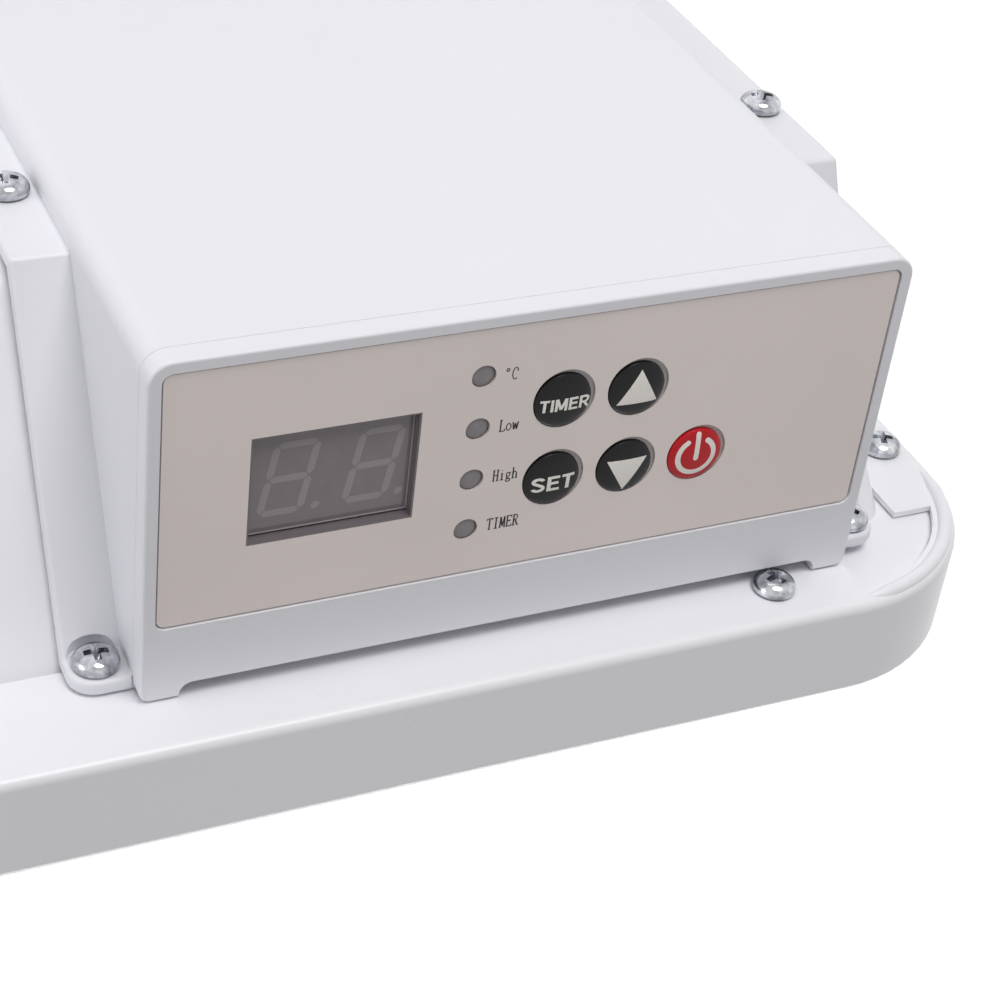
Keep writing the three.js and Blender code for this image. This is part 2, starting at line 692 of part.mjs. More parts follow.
// Z of the cover's top slope at height h above the flanges, `gap` off its skin.
const slopeZ = (h, gap) => SLOPE_FOOT_Z - (HUMP_TOP_RUN * h) / HUMP_HEIGHT + gap * SLOPE_STRETCH;

// The cover's profile under the box, from the panel's top edge down, `gap` off its skin.
function coverLine(gap, frontZ, endZ) {
  return [
    [FLANGE_Y + gap, frontZ],
    [FLANGE_Y + gap, slopeZ(gap, gap)],
    [gap, slopeZ(HUMP_HEIGHT + gap, gap)],
    [gap, endZ],
  ];
}

function housingOuter() {
  const side = alongX(
    polygon([...coverLine(SEAT_GAP, SEAM_Z, BOX_END_Z), [BOX_PROUD, BOX_END_Z], [BOX_PROUD, SEAM_Z]]),
    BOX_LEFT,
    BOX_RIGHT,
  );
  const section = alongZ(
    roundedRectangle(BOX_LEFT, FLANGE_Y - TRIM_OVER, BOX_RIGHT, BOX_PROUD, BOX_EDGE_RADIUS, CUT_OVER),
    BOX_END_Z - CUT_OVER,
    SEAM_Z,
  );
  const plan = alongY(
    roundedRectangle(BOX_LEFT, BOX_END_Z, BOX_RIGHT, FACE_Z + TRIM_OVER, CUT_OVER, BOX_EDGE_RADIUS),
    FLANGE_Y - TRIM_OVER,
    BOX_PROUD + CUT_OVER,
  );
  return common(side, section, plan);
}

function housingEars() {
  const left = BOX_LEFT - EAR_WIDTH;
  const right = BOX_RIGHT + EAR_WIDTH;
  const front = FACE_Z - EAR_SETBACK;
  const upper = coverLine(EAR_TOP, front, BOX_END_Z);
  const lower = coverLine(SEAT_GAP, front, BOX_END_Z);
  const heights = [FLANGE_Y - TRIM_OVER, BOX_PROUD + TRIM_OVER];
  const strip = alongX(polygon([...lower, ...upper.reverse()]), left, right);
  const plan = alongY(roundedRectangle(left, BOX_END_Z, right, front, EAR_RADIUS), ...heights);
  const middle = block(
    BOX_LEFT + BOX_WALL / 2, BOX_RIGHT - BOX_WALL / 2, ...heights, BOX_END_Z - CUT_OVER, FACE_Z);
  const besideBezel = block(BOX_LEFT - SEAT_GAP, BOX_RIGHT + SEAT_GAP, ...heights, SEAM_Z, FACE_Z);
  return cut(common(strip, plan), middle, besideBezel);
}

function screwPocket({ x, seatY, z }) {
  const geometry = turnedGeometry([
    [0, 0],
    [SCREW_POCKET_RADIUS, 0],
    [SCREW_POCKET_RADIUS, SCREW_POCKET_HEIGHT * 0.4],
    [SCREW_POCKET_RADIUS * 0.8, SCREW_POCKET_HEIGHT * 0.8],
    [0, SCREW_POCKET_HEIGHT],
  ], 20);
  geometry.rotateX(-Math.PI / 2);
  geometry.translate(x, seatY, z);
  return solid(geometry);
}

// Ribs across the housing's roof, which stiffen it over the cover's flat.
function housingRibs() {
  const ribs = [];
  const roof = BOX_PROUD - BOX_WALL;
  const last = slopeZ(HUMP_HEIGHT, 0) - BOX_RIB_FREE;
  for (let z = BOX_END_Z + BOX_RIB_PITCH; z < last; z += BOX_RIB_PITCH) {
    ribs.push(block(
      BOX_LEFT + BOX_WALL - SINK, BOX_RIGHT - BOX_WALL + SINK,
      roof - BOX_RIB_HEIGHT, roof + SINK,
      z, z + BOX_RIB_THICKNESS));
  }
  return ribs;
}

function controlHousing() {
  const hollow = block(
    BOX_LEFT + BOX_WALL, BOX_RIGHT - BOX_WALL,
    FLANGE_Y - TRIM_OVER, BOX_PROUD - BOX_WALL,
    BOX_END_Z + BOX_WALL, SEAM_Z + CUT_OVER);
  const shell = join(cut(housingOuter(), hollow), ...housingRibs(), housingEars());
  const places = earScrewPlaces();
  const holes = places.map(({ x, seatY, z }) =>
    rodAlongY(HOLE_RADIUS, seatY - EAR_HOLE_DEPTH, seatY + CUT_OVER, x, z, HOLE_SIDES));
  return cut(shell, ...holes, ...places.map(screwPocket));
}

// ---------------------------------------------------------------- bezel and label

const lampPlaces = () =>
  Array.from({ length: LAMP_COUNT }, (_, index) => [
    LABEL_LEFT + LAMP_X,
    LABEL_BOTTOM + LAMP_LOWEST + index * LAMP_PITCH,
  ]);

const buttonPlace = (column, row) => [
  LABEL_LEFT + BUTTON_LEFT + column * BUTTON_PITCH,
  LABEL_BOTTOM + BUTTON_LOWER + row * BUTTON_RISE,
];

const BUTTONS = [
  { name: 'timer', place: buttonPlace(0, 1), material: MATERIAL.blackCap },
  { name: 'up', place: buttonPlace(1, 1), material: MATERIAL.blackCap },
  { name: 'set', place: buttonPlace(0, 0), material: MATERIAL.blackCap },
  { name: 'down', place: buttonPlace(1, 0), material: MATERIAL.blackCap },
  { name: 'power', place: buttonPlace(2, 0), material: MATERIAL.redCap },
];

const DISPLAY_X0 = LABEL_LEFT + DISPLAY_LEFT;
const DISPLAY_X1 = DISPLAY_X0 + DISPLAY_WIDTH;
const DISPLAY_Y0 = LABEL_BOTTOM + DISPLAY_BOTTOM;
const DISPLAY_Y1 = DISPLAY_Y0 + DISPLAY_HEIGHT;

// The window, lamp and button holes that the label and the bezel's plate share.
function faceHoles(z0, z1) {
  const lampHole = LAMP_RADIUS + LAMP_CLEARANCE;
  const buttonHole = BUTTON_RADIUS + BUTTON_CLEARANCE;
  return [
    block(DISPLAY_X0, DISPLAY_X1, DISPLAY_Y0, DISPLAY_Y1, z0, z1),
    ...lampPlaces().map(([x, y]) => rod(lampHole, z0, z1, x, y, 12)),
    ...BUTTONS.map(({ place }) => rod(buttonHole, z0, z1, ...place, 16)),
  ];
}

const labelOutline = (gap) =>
  roundedRectangle(
    LABEL_LEFT + gap, LABEL_BOTTOM + gap, LABEL_RIGHT - gap, LABEL_TOP - gap, LABEL_RADIUS - gap);

const boardPosts = () =>
  [LABEL_LEFT + POST_INSET, LABEL_RIGHT - POST_INSET].flatMap((x) =>
    [LABEL_BOTTOM + POST_INSET, LABEL_TOP - POST_INSET].map((y) => [x, y]));

function bezelSpigot() {
  const gap = BOX_WALL + SEAT_GAP;
  const ring = (inset, z0, z1) => alongZ(
    roundedRectangle(
      BOX_LEFT + inset, BOX_FLOOR_Y + BEZEL_NOTCH + inset, BOX_RIGHT - inset, BOX_PROUD - inset,
      SPIGOT_RADIUS),
    z0,
    z1,
  );
  return cut(
    ring(gap, SEAM_Z - BEZEL_SPIGOT, PLATE_BACK_Z + SINK),
    ring(gap + SPIGOT_WALL, SEAM_Z - BEZEL_SPIGOT - CUT_OVER, PLATE_BACK_Z),
  );
}

// The bezel's outside, rounded towards its face and cut flat at the seam.
function bezelRim() {
  const seat = SEAM_Z + SEAT_GAP;
  const rim = alongZ(
    roundedRectangle(BOX_LEFT, BOX_FLOOR_Y, BOX_RIGHT, BOX_PROUD, BOX_EDGE_RADIUS, BEZEL_LOWER_RADIUS),
    seat - BEZEL_EDGE,
    FACE_Z,
    { bevel: BEZEL_EDGE },
  );
  return cut(rim, block(
    BOX_LEFT - CUT_OVER, BOX_RIGHT + CUT_OVER,
    BOX_FLOOR_Y - CUT_OVER, BOX_PROUD + CUT_OVER,
    seat - 2 * BEZEL_EDGE, seat));
}

// The gap under the bezel's lower edge, between its two feet.
function bezelNotch() {
  const shape = roundedRectangle(
    BOX_LEFT + BEZEL_FOOT, BOX_FLOOR_Y - TRIM_OVER, BOX_RIGHT - BEZEL_FOOT, BOX_FLOOR_Y + BEZEL_NOTCH,
    BEZEL_NOTCH_RADIUS, CUT_OVER);
  return alongZ(shape, SEAM_Z - CUT_OVER, FACE_Z + CUT_OVER);
}

function frontBezel() {
  const behind = block(
    BOX_LEFT + BOX_WALL, BOX_RIGHT - BOX_WALL,
    BOX_FLOOR_Y + BEZEL_NOTCH + BOX_WALL, BOX_PROUD - BOX_WALL,
    SEAM_Z - CUT_OVER, PLATE_BACK_Z);
  const recess = alongZ(labelOutline(0), RECESS_Z, FACE_Z + CUT_OVER);
  const posts = boardPosts().map(([x, y]) =>
    rod(POST_RADIUS, CONTROL_BOARD_Z + SEAT_GAP, PLATE_BACK_Z + SINK, x, y, 12));
  const hollow = cut(bezelRim(), behind, bezelNotch(), recess);
  const holes = faceHoles(CONTROL_BOARD_Z + HOLE_START, FACE_Z + CUT_OVER);
  return cut(join(hollow, bezelSpigot(), ...posts), ...holes);
}

function fasciaLabel() {
  const film = alongZ(labelOutline(SEAT_GAP), LABEL_Z - LABEL_THICKNESS, LABEL_Z);
  return cut(film, ...faceHoles(RECESS_Z, FACE_Z));
}

// ---------------------------------------------------------------- display, lamps, buttons, switches

const DISPLAY_FACE_Z = LABEL_Z - DISPLAY_SUNK;

function displayWindow() {
  const gap = SEAT_GAP;
  return block(
    DISPLAY_X0 + gap, DISPLAY_X1 - gap, DISPLAY_Y0 + gap, DISPLAY_Y1 - gap,
    DISPLAY_FACE_Z - DISPLAY_LENS, DISPLAY_FACE_Z);
}

function displayModule() {
  const gap = SEAT_GAP;
  return block(
    DISPLAY_X0 + gap, DISPLAY_X1 - gap, DISPLAY_Y0 + gap, DISPLAY_Y1 - gap,
    CONTROL_BOARD_Z + gap, DISPLAY_FACE_Z - DISPLAY_LENS - gap);
}

// A light guide from its lamp on the board to the label's face.
function indicatorLamp([x, y]) {
  const top = LABEL_Z - LABEL_THICKNESS / 2;
  const foot = CONTROL_BOARD_Z + SEAT_GAP;
  return turned([
    [0, foot],
    [LAMP_RADIUS + LAMP_FOOT, foot],
    [LAMP_RADIUS + LAMP_FOOT, foot + LAMP_FOOT_HEIGHT],
    [LAMP_RADIUS, foot + LAMP_FOOT_HEIGHT],
    [LAMP_RADIUS, top - LAMP_EDGE],
    [LAMP_RADIUS - LAMP_EDGE, top],
    [0, top],
  ], 12, [x, y, 0]);
}

const SWITCH_TOP_Z = CONTROL_BOARD_Z + SEAT_GAP + SWITCH_HEIGHT + SWITCH_PLUNGER;

// Cap, retaining flange behind the plate and stem down to the switch.
function button([x, y]) {
  const crown = LABEL_Z + BUTTON_DOME;
  const flangeTop = PLATE_BACK_Z - SEAT_GAP;
  const flangeBottom = flangeTop - BUTTON_FLANGE;
  const stemEnd = SWITCH_TOP_Z + BUTTON_TRAVEL + BUTTON_REST;
  const dome = [0, 30, 60].map((degrees) => {
    const angle = THREE.MathUtils.degToRad(degrees);
    return [BUTTON_RADIUS * Math.cos(angle), crown - BUTTON_DOME * (1 - Math.sin(angle))];
  });
  return turned([
    [0, stemEnd],
    [BUTTON_STEM_RADIUS, stemEnd],
    [BUTTON_STEM_RADIUS, flangeBottom],
    [BUTTON_FLANGE_RADIUS, flangeBottom],
    [BUTTON_FLANGE_RADIUS, flangeTop],
    [BUTTON_RADIUS, flangeTop],
    ...dome,
    [0, crown],
  ], 16, [x, y, 0]);
}

function tactSwitch([x, y]) {
  const half = SWITCH_SIZE / 2;
  const base = CONTROL_BOARD_Z + SEAT_GAP;
  const body = block(x - half, x + half, y - half, y + half, base, base + SWITCH_HEIGHT);
  return join(body, rod(SWITCH_PLUNGER_RADIUS, base + SINK, SWITCH_TOP_Z, x, y, 12));
}

// ---------------------------------------------------------------- boards

function controlBoard() {
  return block(
    BOX_LEFT + CONTROL_BOARD_MARGIN, BOX_RIGHT - CONTROL_BOARD_MARGIN,
    LABEL_BOTTOM + CONTROL_BOARD_LOW, LABEL_TOP - CONTROL_BOARD_LOW,
    CONTROL_BOARD_Z - BOARD_THICKNESS, CONTROL_BOARD_Z);
}

const POWER_TOP_Y = BOX_PROUD - BOX_WALL - POWER_BOARD_ROOM;
const POWER_MID_Y = POWER_TOP_Y - POWER_BOARD_HEIGHT / 2;

function powerBoard() {
  return block(
    BOX_MID - POWER_BOARD_WIDTH / 2, BOX_MID + POWER_BOARD_WIDTH / 2,
    POWER_TOP_Y - POWER_BOARD_HEIGHT, POWER_TOP_Y,
    POWER_BOARD_Z - BOARD_THICKNESS, POWER_BOARD_Z);
}

// A moulded block standing on the power board, towards the bezel.
function onPowerBoard(centreX, [width, height, depth]) {
  const base = POWER_BOARD_Z + SEAT_GAP;
  return alongZ(
    roundedRectangle(
      centreX - width / 2, POWER_MID_Y - height / 2, centreX + width / 2, POWER_MID_Y + height / 2,
      POWER_PART_RADIUS),
    base,
    base + depth,
    { curveSegments: 1 },
  );
}

function terminalBlock(centreX) {
  const [width, height] = TERMINAL_SIZE;
  const half = TERMINAL_HOLE / 2;
  const low = POWER_BOARD_Z + SEAT_GAP + TERMINAL_HOLE_ABOVE;
  const holeEnd = POWER_MID_Y - height / 2 + TERMINAL_HOLE_DEPTH;
  const holes = Array.from({ length: TERMINAL_WAYS }, (_, way) => {
    const x = centreX + ((way + 0.5) / TERMINAL_WAYS - 0.5) * width;
    return block(x - half, x + half, POWER_MID_Y - height, holeEnd, low, low + TERMINAL_HOLE);
  });
  return cut(onPowerBoard(centreX, TERMINAL_SIZE), ...holes);
}

// ---------------------------------------------------------------- heating elements

const elementAxes = () => [
  ['upper', ELEMENT_UPPER_Z],
  ['lower', ELEMENT_LOWER_Z],
];

function elementArm(angle, axisZ) {
  const end = ELEMENT_ARM + ELEMENT_BOSS_RADIUS / 2;
  const across = 2 * ELEMENT_FIN_REACH + ELEMENT_ARM_THICKNESS;
  const pieces = [new THREE.BoxGeometry(ELEMENT_LENGTH, ELEMENT_ARM_THICKNESS, ELEMENT_ARM)];
  pieces[0].translate(0, 0, end - ELEMENT_ARM / 2);
  for (let fin = 0; fin < ELEMENT_FINS; fin += 1) {
    const blade = new THREE.BoxGeometry(ELEMENT_LENGTH, across, ELEMENT_FIN_THICKNESS);
    blade.translate(0, 0, end - ELEMENT_FIN_SETBACK - fin * ELEMENT_FIN_PITCH);
    pieces.push(blade);
  }
  return join(...pieces.map((piece) => {
    piece.rotateX(angle);
    piece.translate(0, -ELEMENT_DEPTH, axisZ);
    return solid(piece);
  }));
}

// Extruded body with four finned arms and a pin at each end.
function heatingElement(axisZ) {
  const half = ELEMENT_LENGTH / 2;
  const tilt = THREE.MathUtils.degToRad(ELEMENT_ARM_TILT);
  const arms = [tilt, -tilt, Math.PI + tilt, Math.PI - tilt].map((angle) => elementArm(angle, axisZ));
  const boss = rodAlongX(ELEMENT_BOSS_RADIUS, -half, half, -ELEMENT_DEPTH, axisZ);
  const pin = rodAlongX(ELEMENT_PIN_RADIUS, -half - ELEMENT_PIN, half + ELEMENT_PIN, -ELEMENT_DEPTH, axisZ);
  return join(boss, pin, ...arms);
}

// Insulating bush between an element's pin and its bracket, with a collar on the element's side.
function elementBush(side, axisZ) {
  const start = ELEMENT_LENGTH / 2 + SEAT_GAP;
  const collarEnd = start + BUSH_COLLAR;
  const end = start + BUSH_LENGTH;
  const through = span(side, start - CUT_OVER, end + CUT_OVER);
  const lip = BUSH_RADIUS + BUSH_COLLAR;
  const collar = rodAlongX(lip, ...span(side, start, collarEnd), -ELEMENT_DEPTH, axisZ);
  const sleeve = rodAlongX(BUSH_RADIUS, ...span(side, start, end), -ELEMENT_DEPTH, axisZ);
  const bore = rodAlongX(PIN_HOLE, ...through, -ELEMENT_DEPTH, axisZ);
  return cut(join(collar, sleeve), bore);
}

// Folded steel bracket: a plate across both elements and a foot on the cover's flat.
function elementBracket(side) {
  const rear = COVER_INSIDE_Y;
  const front = -ELEMENT_DEPTH - BRACKET_HOLE - BUSH_WALL;
  const top = ELEMENT_UPPER_Z + BRACKET_MARGIN;
  const bottom = ELEMENT_LOWER_Z - BRACKET_MARGIN;
  const through = span(side, BRACKET_X - CUT_OVER, BRACKET_X + BRACKET_SHEET + CUT_OVER);
  const plate = alongX(
    roundedRectangle(front, bottom, rear, top, BRACKET_RADIUS),
    ...span(side, BRACKET_X, BRACKET_X + BRACKET_SHEET),
  );
  const foot = block(
    ...span(side, BRACKET_X, BRACKET_X + BRACKET_FOOT),
    rear - BRACKET_SHEET, rear,
    bottom + BRACKET_RADIUS, top - BRACKET_RADIUS);
  const holes = elementAxes().map(([, z]) => rodAlongX(BRACKET_HOLE, ...through, -ELEMENT_DEPTH, z));
  return cut(join(plate, foot), ...holes);
}

// Bright sheet behind the elements, with lips folded back to the cover.
function reflectorPlate() {
  const rear = COVER_INSIDE_Y;
  const face = -REFLECTOR_GAP;
  const sheet = REFLECTOR_SHEET;
  const middle = (ELEMENT_UPPER_Z + ELEMENT_LOWER_Z) / 2;
  const top = middle + REFLECTOR_HEIGHT / 2;
  const bottom = middle - REFLECTOR_HEIGHT / 2;
  const half = BRACKET_X - REFLECTOR_END_GAP;
  return alongX(
    polygon([
      [face, bottom], [face, top], [rear - sheet, top], [rear - sheet, top + REFLECTOR_LIP],
      [rear, top + REFLECTOR_LIP], [rear, top - sheet], [face + sheet, top - sheet],
      [face + sheet, bottom + sheet], [rear, bottom + sheet], [rear, bottom - REFLECTOR_LIP],
      [rear - sheet, bottom - REFLECTOR_LIP], [rear - sheet, bottom],
    ].reverse()),
    -half,
    half,
  );
}

// Snap-action disc thermostat on a two-eared seat, above the elements.
function overheatCutout() {
  const rear = COVER_INSIDE_Y;
  const z = ELEMENT_UPPER_Z + CUTOUT_ABOVE + REFLECTOR_LIP;
  const half = CUTOUT_EAR_WIDTH / 2;
  const ears = alongY(
    roundedRectangle(-CUTOUT_EAR, z - half, CUTOUT_EAR, z + half, CUTOUT_EAR_RADIUS),
    rear - CUTOUT_EAR_SHEET,
    rear,
  );
  return join(ears, rodAlongY(CUTOUT_RADIUS, rear - CUTOUT_HEIGHT, rear - SINK, 0, z, 20));
}

// ---------------------------------------------------------------- grommet and gland

function wireGrommet() {
  const lip = GROMMET_HOLE + GROMMET_FLANGE;
  const neck = GROMMET_HOLE - SEAT_GAP;
  const inner = COVER_INSIDE_Y - GROMMET_FLANGE;
  const outer = SEAT_GAP + GROMMET_FLANGE;
  const body = join(
    rodAlongY(lip, SEAT_GAP, outer, BOX_MID, GROMMET_Z),
    rodAlongY(neck, inner, outer, BOX_MID, GROMMET_Z),
    rodAlongY(lip, inner, COVER_INSIDE_Y, BOX_MID, GROMMET_Z),
  );
  return cut(body, rodAlongY(GROMMET_BORE, inner - CUT_OVER, outer + CUT_OVER, BOX_MID, GROMMET_Z, 12));
}

// Cord gland, modelled along Z with the cover's skin between heights -COVER_SHEET and 0.
function cableGland() {
  const neck = GLAND_NECK - SEAT_GAP;
  const nut = GLAND_FLANGE - GLAND_NUT_INSET;
  const inside = -COVER_SHEET - SEAT_GAP;
  const low = inside - GLAND_NUT;
  const shoulder = SEAT_GAP + GLAND_COLLAR;
  const nose = SEAT_GAP + GLAND_NOSE;
  const body = turned([
    [0, low],
    [nut, low],
    [nut, inside],
    [neck, inside],
    [neck, SEAT_GAP],
    [GLAND_FLANGE, SEAT_GAP],
    [GLAND_FLANGE, shoulder],
    [GLAND_FLANGE - GLAND_SHOULDER, shoulder + GLAND_SHOULDER],
    [GLAND_BORE + GLAND_NOSE_WALL, nose],
    [0, nose],
  ], 16);
  return cut(body, rod(GLAND_BORE, low - CUT_OVER, nose + CUT_OVER, 0, 0, 12));
}

// ---------------------------------------------------------------- assembly

function addCasing() {
  add('front_shell', frontShell(), MATERIAL.whiteSteel);
  add('back_cover', backCover(), MATERIAL.whiteSteel);
  add('control_housing', controlHousing(), MATERIAL.whiteAbs);
  add('front_bezel', frontBezel(), MATERIAL.whiteAbs);
  add('fascia_label', fasciaLabel(), MATERIAL.silverFilm);
}

function addControls() {
  add('display_window', displayWindow(), MATERIAL.smokedLens);
  add('display_module', displayModule(), MATERIAL.displayGrey);
  lampPlaces().forEach((place, index) => {
    add(`indicator_lamp_${index + 1}`, indicatorLamp(place), MATERIAL.lampGrey);
  });
  for (const { name, place, material } of BUTTONS) {
    add(`button_${name}`, button(place), material);
    add(`switch_${name}`, tactSwitch(place), MATERIAL.blackPart);
  }
  add('control_board', controlBoard(), MATERIAL.greenBoard);
}

function addPowerBoard() {
  const edge = BOX_MID - POWER_BOARD_WIDTH / 2;
  const after = (x, size, nextSize) => x + (size[0] + nextSize[0]) / 2 + POWER_PART_GAP;
  const lowX = edge + POWER_PART_GAP + RELAY_SIZE[0] / 2;
  const highX = after(lowX, RELAY_SIZE, RELAY_SIZE);
  const transformerX = after(highX, RELAY_SIZE, TRANSFORMER_SIZE);
  const terminalX = after(transformerX, TRANSFORMER_SIZE, TERMINAL_SIZE);
  add('power_board', powerBoard(), MATERIAL.greenBoard);
  add('relay_low', onPowerBoard(lowX, RELAY_SIZE), MATERIAL.blueRelay);
  add('relay_high', onPowerBoard(highX, RELAY_SIZE), MATERIAL.blueRelay);
  add('board_transformer', onPowerBoard(transformerX, TRANSFORMER_SIZE), MATERIAL.blackPart);
  add('terminal_block', terminalBlock(terminalX), MATERIAL.cream);
}

function addHeater() {
  for (const [name, axisZ] of elementAxes()) {
    add(`heating_element_${name}`, heatingElement(axisZ), MATERIAL.aluminium);
    add(`element_bush_${name}_left`, elementBush(-1, axisZ), MATERIAL.ceramic);
    add(`element_bush_${name}_right`, elementBush(1, axisZ), MATERIAL.ceramic);
  }
  add('element_bracket_left', elementBracket(-1), MATERIAL.galvanised);
  add('element_bracket_right', elementBracket(1), MATERIAL.galvanised);
  add('reflector_plate', reflectorPlate(), MATERIAL.aluminium);
  add('overheat_cutout', overheatCutout(), MATERIAL.blackPart);
}

function addWireOpenings() {
  add('wire_grommet', wireGrommet(), MATERIAL.rubber);
  const gland = add('cable_gland', cableGland(), MATERIAL.whiteAbs);
  gland.position.set(GLAND_X, GLAND_Y, GLAND_Z);
  gland.rotation.x = Math.PI + GLAND_TILT;
}

function addScrews() {
  edgeScrewPlaces().forEach(([x, z], index) => addScrew(`cover_screw_${index + 1}`, x, FLANGE_Y, z));
  earScrewPlaces().forEach(({ x, seatY, z }, index) => addScrew(`housing_screw_${index + 1}`, x, seatY, z));
}

addCasing();
addControls();
addPowerBoard();
addHeater();
addWireOpenings();
addScrews();

export default scene;
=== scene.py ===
import json
import math

import bmesh
import bpy
from mathutils import Matrix, Vector


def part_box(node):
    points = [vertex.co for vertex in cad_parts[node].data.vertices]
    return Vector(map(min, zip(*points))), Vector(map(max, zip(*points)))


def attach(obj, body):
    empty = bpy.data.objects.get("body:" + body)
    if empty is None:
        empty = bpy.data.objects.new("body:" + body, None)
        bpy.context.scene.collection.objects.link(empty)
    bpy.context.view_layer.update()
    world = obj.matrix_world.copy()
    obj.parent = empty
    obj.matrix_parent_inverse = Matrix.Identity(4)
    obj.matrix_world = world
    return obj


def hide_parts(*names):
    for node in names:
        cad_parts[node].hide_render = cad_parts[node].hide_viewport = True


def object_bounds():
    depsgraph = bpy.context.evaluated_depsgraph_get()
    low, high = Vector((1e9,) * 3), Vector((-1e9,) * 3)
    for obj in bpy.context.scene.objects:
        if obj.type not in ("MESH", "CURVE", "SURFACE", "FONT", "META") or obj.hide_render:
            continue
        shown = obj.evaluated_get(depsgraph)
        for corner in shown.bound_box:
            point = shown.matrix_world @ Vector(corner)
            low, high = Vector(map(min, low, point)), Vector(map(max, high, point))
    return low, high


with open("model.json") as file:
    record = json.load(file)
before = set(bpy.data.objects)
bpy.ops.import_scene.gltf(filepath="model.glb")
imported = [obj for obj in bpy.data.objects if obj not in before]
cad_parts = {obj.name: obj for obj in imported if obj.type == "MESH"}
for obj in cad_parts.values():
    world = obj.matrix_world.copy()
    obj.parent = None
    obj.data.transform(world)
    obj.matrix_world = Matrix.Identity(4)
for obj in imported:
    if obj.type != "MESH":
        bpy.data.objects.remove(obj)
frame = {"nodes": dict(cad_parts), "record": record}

bl_info = {
    "name": "Wall Panel Convector Heater",
    "version": (1, 0, 0),
    "blender": (4, 5, 0),
    "location": "3D View > Sidebar > Heater",
    "description": "Dresses the heater's solids with finer pieces, finishes and a studio",
    "category": "Object",
}

CAD_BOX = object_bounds()
MM = 0.001


# ------------------------ sizes and colours a user may change


def length(name, millimetres, description):
    return bpy.props.FloatProperty(
        name=name, description=description, default=millimetres * MM, min=0, precision=5,
        unit="LENGTH", subtype="DISTANCE")


def count(name, number, description):
    return bpy.props.IntProperty(name=name, description=description, default=number, min=1)


def degrees(name, angle, description):
    return bpy.props.FloatProperty(
        name=name, description=description, default=math.radians(angle),
        unit="ROTATION", subtype="ANGLE")


def amount(name, number, description, unit="NONE"):
    return bpy.props.FloatProperty(
        name=name, description=description, default=number, min=0, unit=unit)


def linear(*screen):
    """Linear colour of a screen colour from 0 to 255."""
    return tuple(((v / 255 + 0.055) / 1.055) ** 2.4 if v > 10 else v / 255 / 12.92 for v in screen)


def colour(name, screen, description):
    return bpy.props.FloatVectorProperty(
        name=name, description=description, default=linear(*screen), min=0, max=1, size=3,
        subtype="COLOR")


class HeaterPan(bpy.types.PropertyGroup):
    corner_radius: length("Corner radius", 30, "Radius of the panel's corners")
    bend_radius: length("Bend radius", 1.7, "Radius of the folded edges")
    sheet: length("Sheet", 1, "Thickness of the steel")
    top_flange: length("Top flange", 20.1, "Width of the rear flanges along the top and bottom")
    side_flange: length("Side flange", 13, "Width of the rear flanges along the sides")
    corner_notch: length("Corner notch", 29, "Distance from the side at which the flanges stop")
    corner_lip: length("Corner lip", 4, "Width of the flange round each corner")
    bead_radius: length("Bead radius", 1.25, "Radius of the bead round each corner")
    bead_sink: length("Bead sink", 0.35, "How far the bead's middle lies below the flanges")
    louvre_columns: count("Louvre columns", 4, "Louvres side by side")
    louvre_rows: count("Louvre rows", 5, "Louvres one above the other")
    louvre_length: length("Louvre length", 122, "Length of one louvre")
    louvre_height: length("Louvre height", 6, "Height of one louvre's opening")
    louvre_bridge: length("Louvre bridge", 12, "Metal between two columns")
    louvre_pitch: length("Louvre pitch", 11, "Distance between two rows")
    louvre_margin: length("Louvre margin", 32, "From the panel's top edge to the first louvre")
    louvre_blade: length("Louvre blade", 8, "Depth of the blade along its slope")
    louvre_tilt: degrees("Louvre tilt", 48, "Angle of the blades from the face")


class HeaterCover(bpy.types.PropertyGroup):
    sheet: length("Sheet", 0.8, "Thickness of the cover")
    edge_gap: length("Edge gap", 3.5, "From the cover's edge to the panel's outline")
    top_run: length("Top run", 26.7, "How far the top and bottom slopes lean in")
    side_run: length("Side run", 9, "How far the side walls lean in")
    corner: length("Corner", 5, "Radius of the raised middle's corners")
    shoulder: length("Shoulder", 3.5, "Reach of the rounding at the flat's edge")
    foot_gap: length("Foot gap", 1.1, "Between the raised middle's foot and the flanges")
    inlet_count: count("Inlets", 20, "Slots in the bottom slope")
    inlet_width: length("Inlet width", 6, "Width of one slot")
    inlet_pitch: length("Inlet pitch", 20, "Distance between two slots")
    inlet_low: length("Inlet low end", 12, "Lower end above the flanges")
    inlet_high: length("Inlet high end", 40, "Upper end above the flanges")
    keyhole_spacing: length("Keyhole spacing", 240, "Between the two keyholes")
    keyhole_above: length("Keyhole height", 120, "Keyhole heads above the middle")
    keyhole_head: length("Keyhole head", 5, "Radius of a keyhole's round end")
    keyhole_neck: length("Keyhole neck", 2.7, "Half width of a keyhole's slot")
    keyhole_rise: length("Keyhole rise", 11, "From the round end to the slot's end")


class HeaterBox(bpy.types.PropertyGroup):
    wall: length("Wall", 2.5, "Wall of the control housing")
    edge_radius: length("Edge radius", 3.5, "Radius of the long edges")
    bezel_depth: length("Bezel depth", 3.7, "From the seam to the bezel's face")
    seam: length("Seam", 0.07, "Gap between the housing and the bezel")
    bezel_edge: length("Bezel edge", 0.45, "Rounding of the bezel's front edge")
    lower_radius: length("Lower radius", 1.6, "Radius of the bezel's lower corners")
    foot: length("Foot", 5.7, "Width of the bezel's feet")
    notch: length("Notch", 2.4, "Height of the gap between the feet")
    ear_thickness: length("Ear thickness", 2.5, "Thickness of the mounting ears")
    ear_radius: length("Ear radius", 4, "Radius of the ears' corners")
    ear_setback: length("Ear setback", 3.2, "From the bezel's face back to the ears")
    ear_edge: length("Ear edge", 0.7, "Rounding of the ears' edges")
    pocket_radius: length("Pocket radius", 4.4, "Radius of the pocket beside a screw")
    pocket_height: length("Pocket height", 3.6, "Height of the pocket beside a screw")


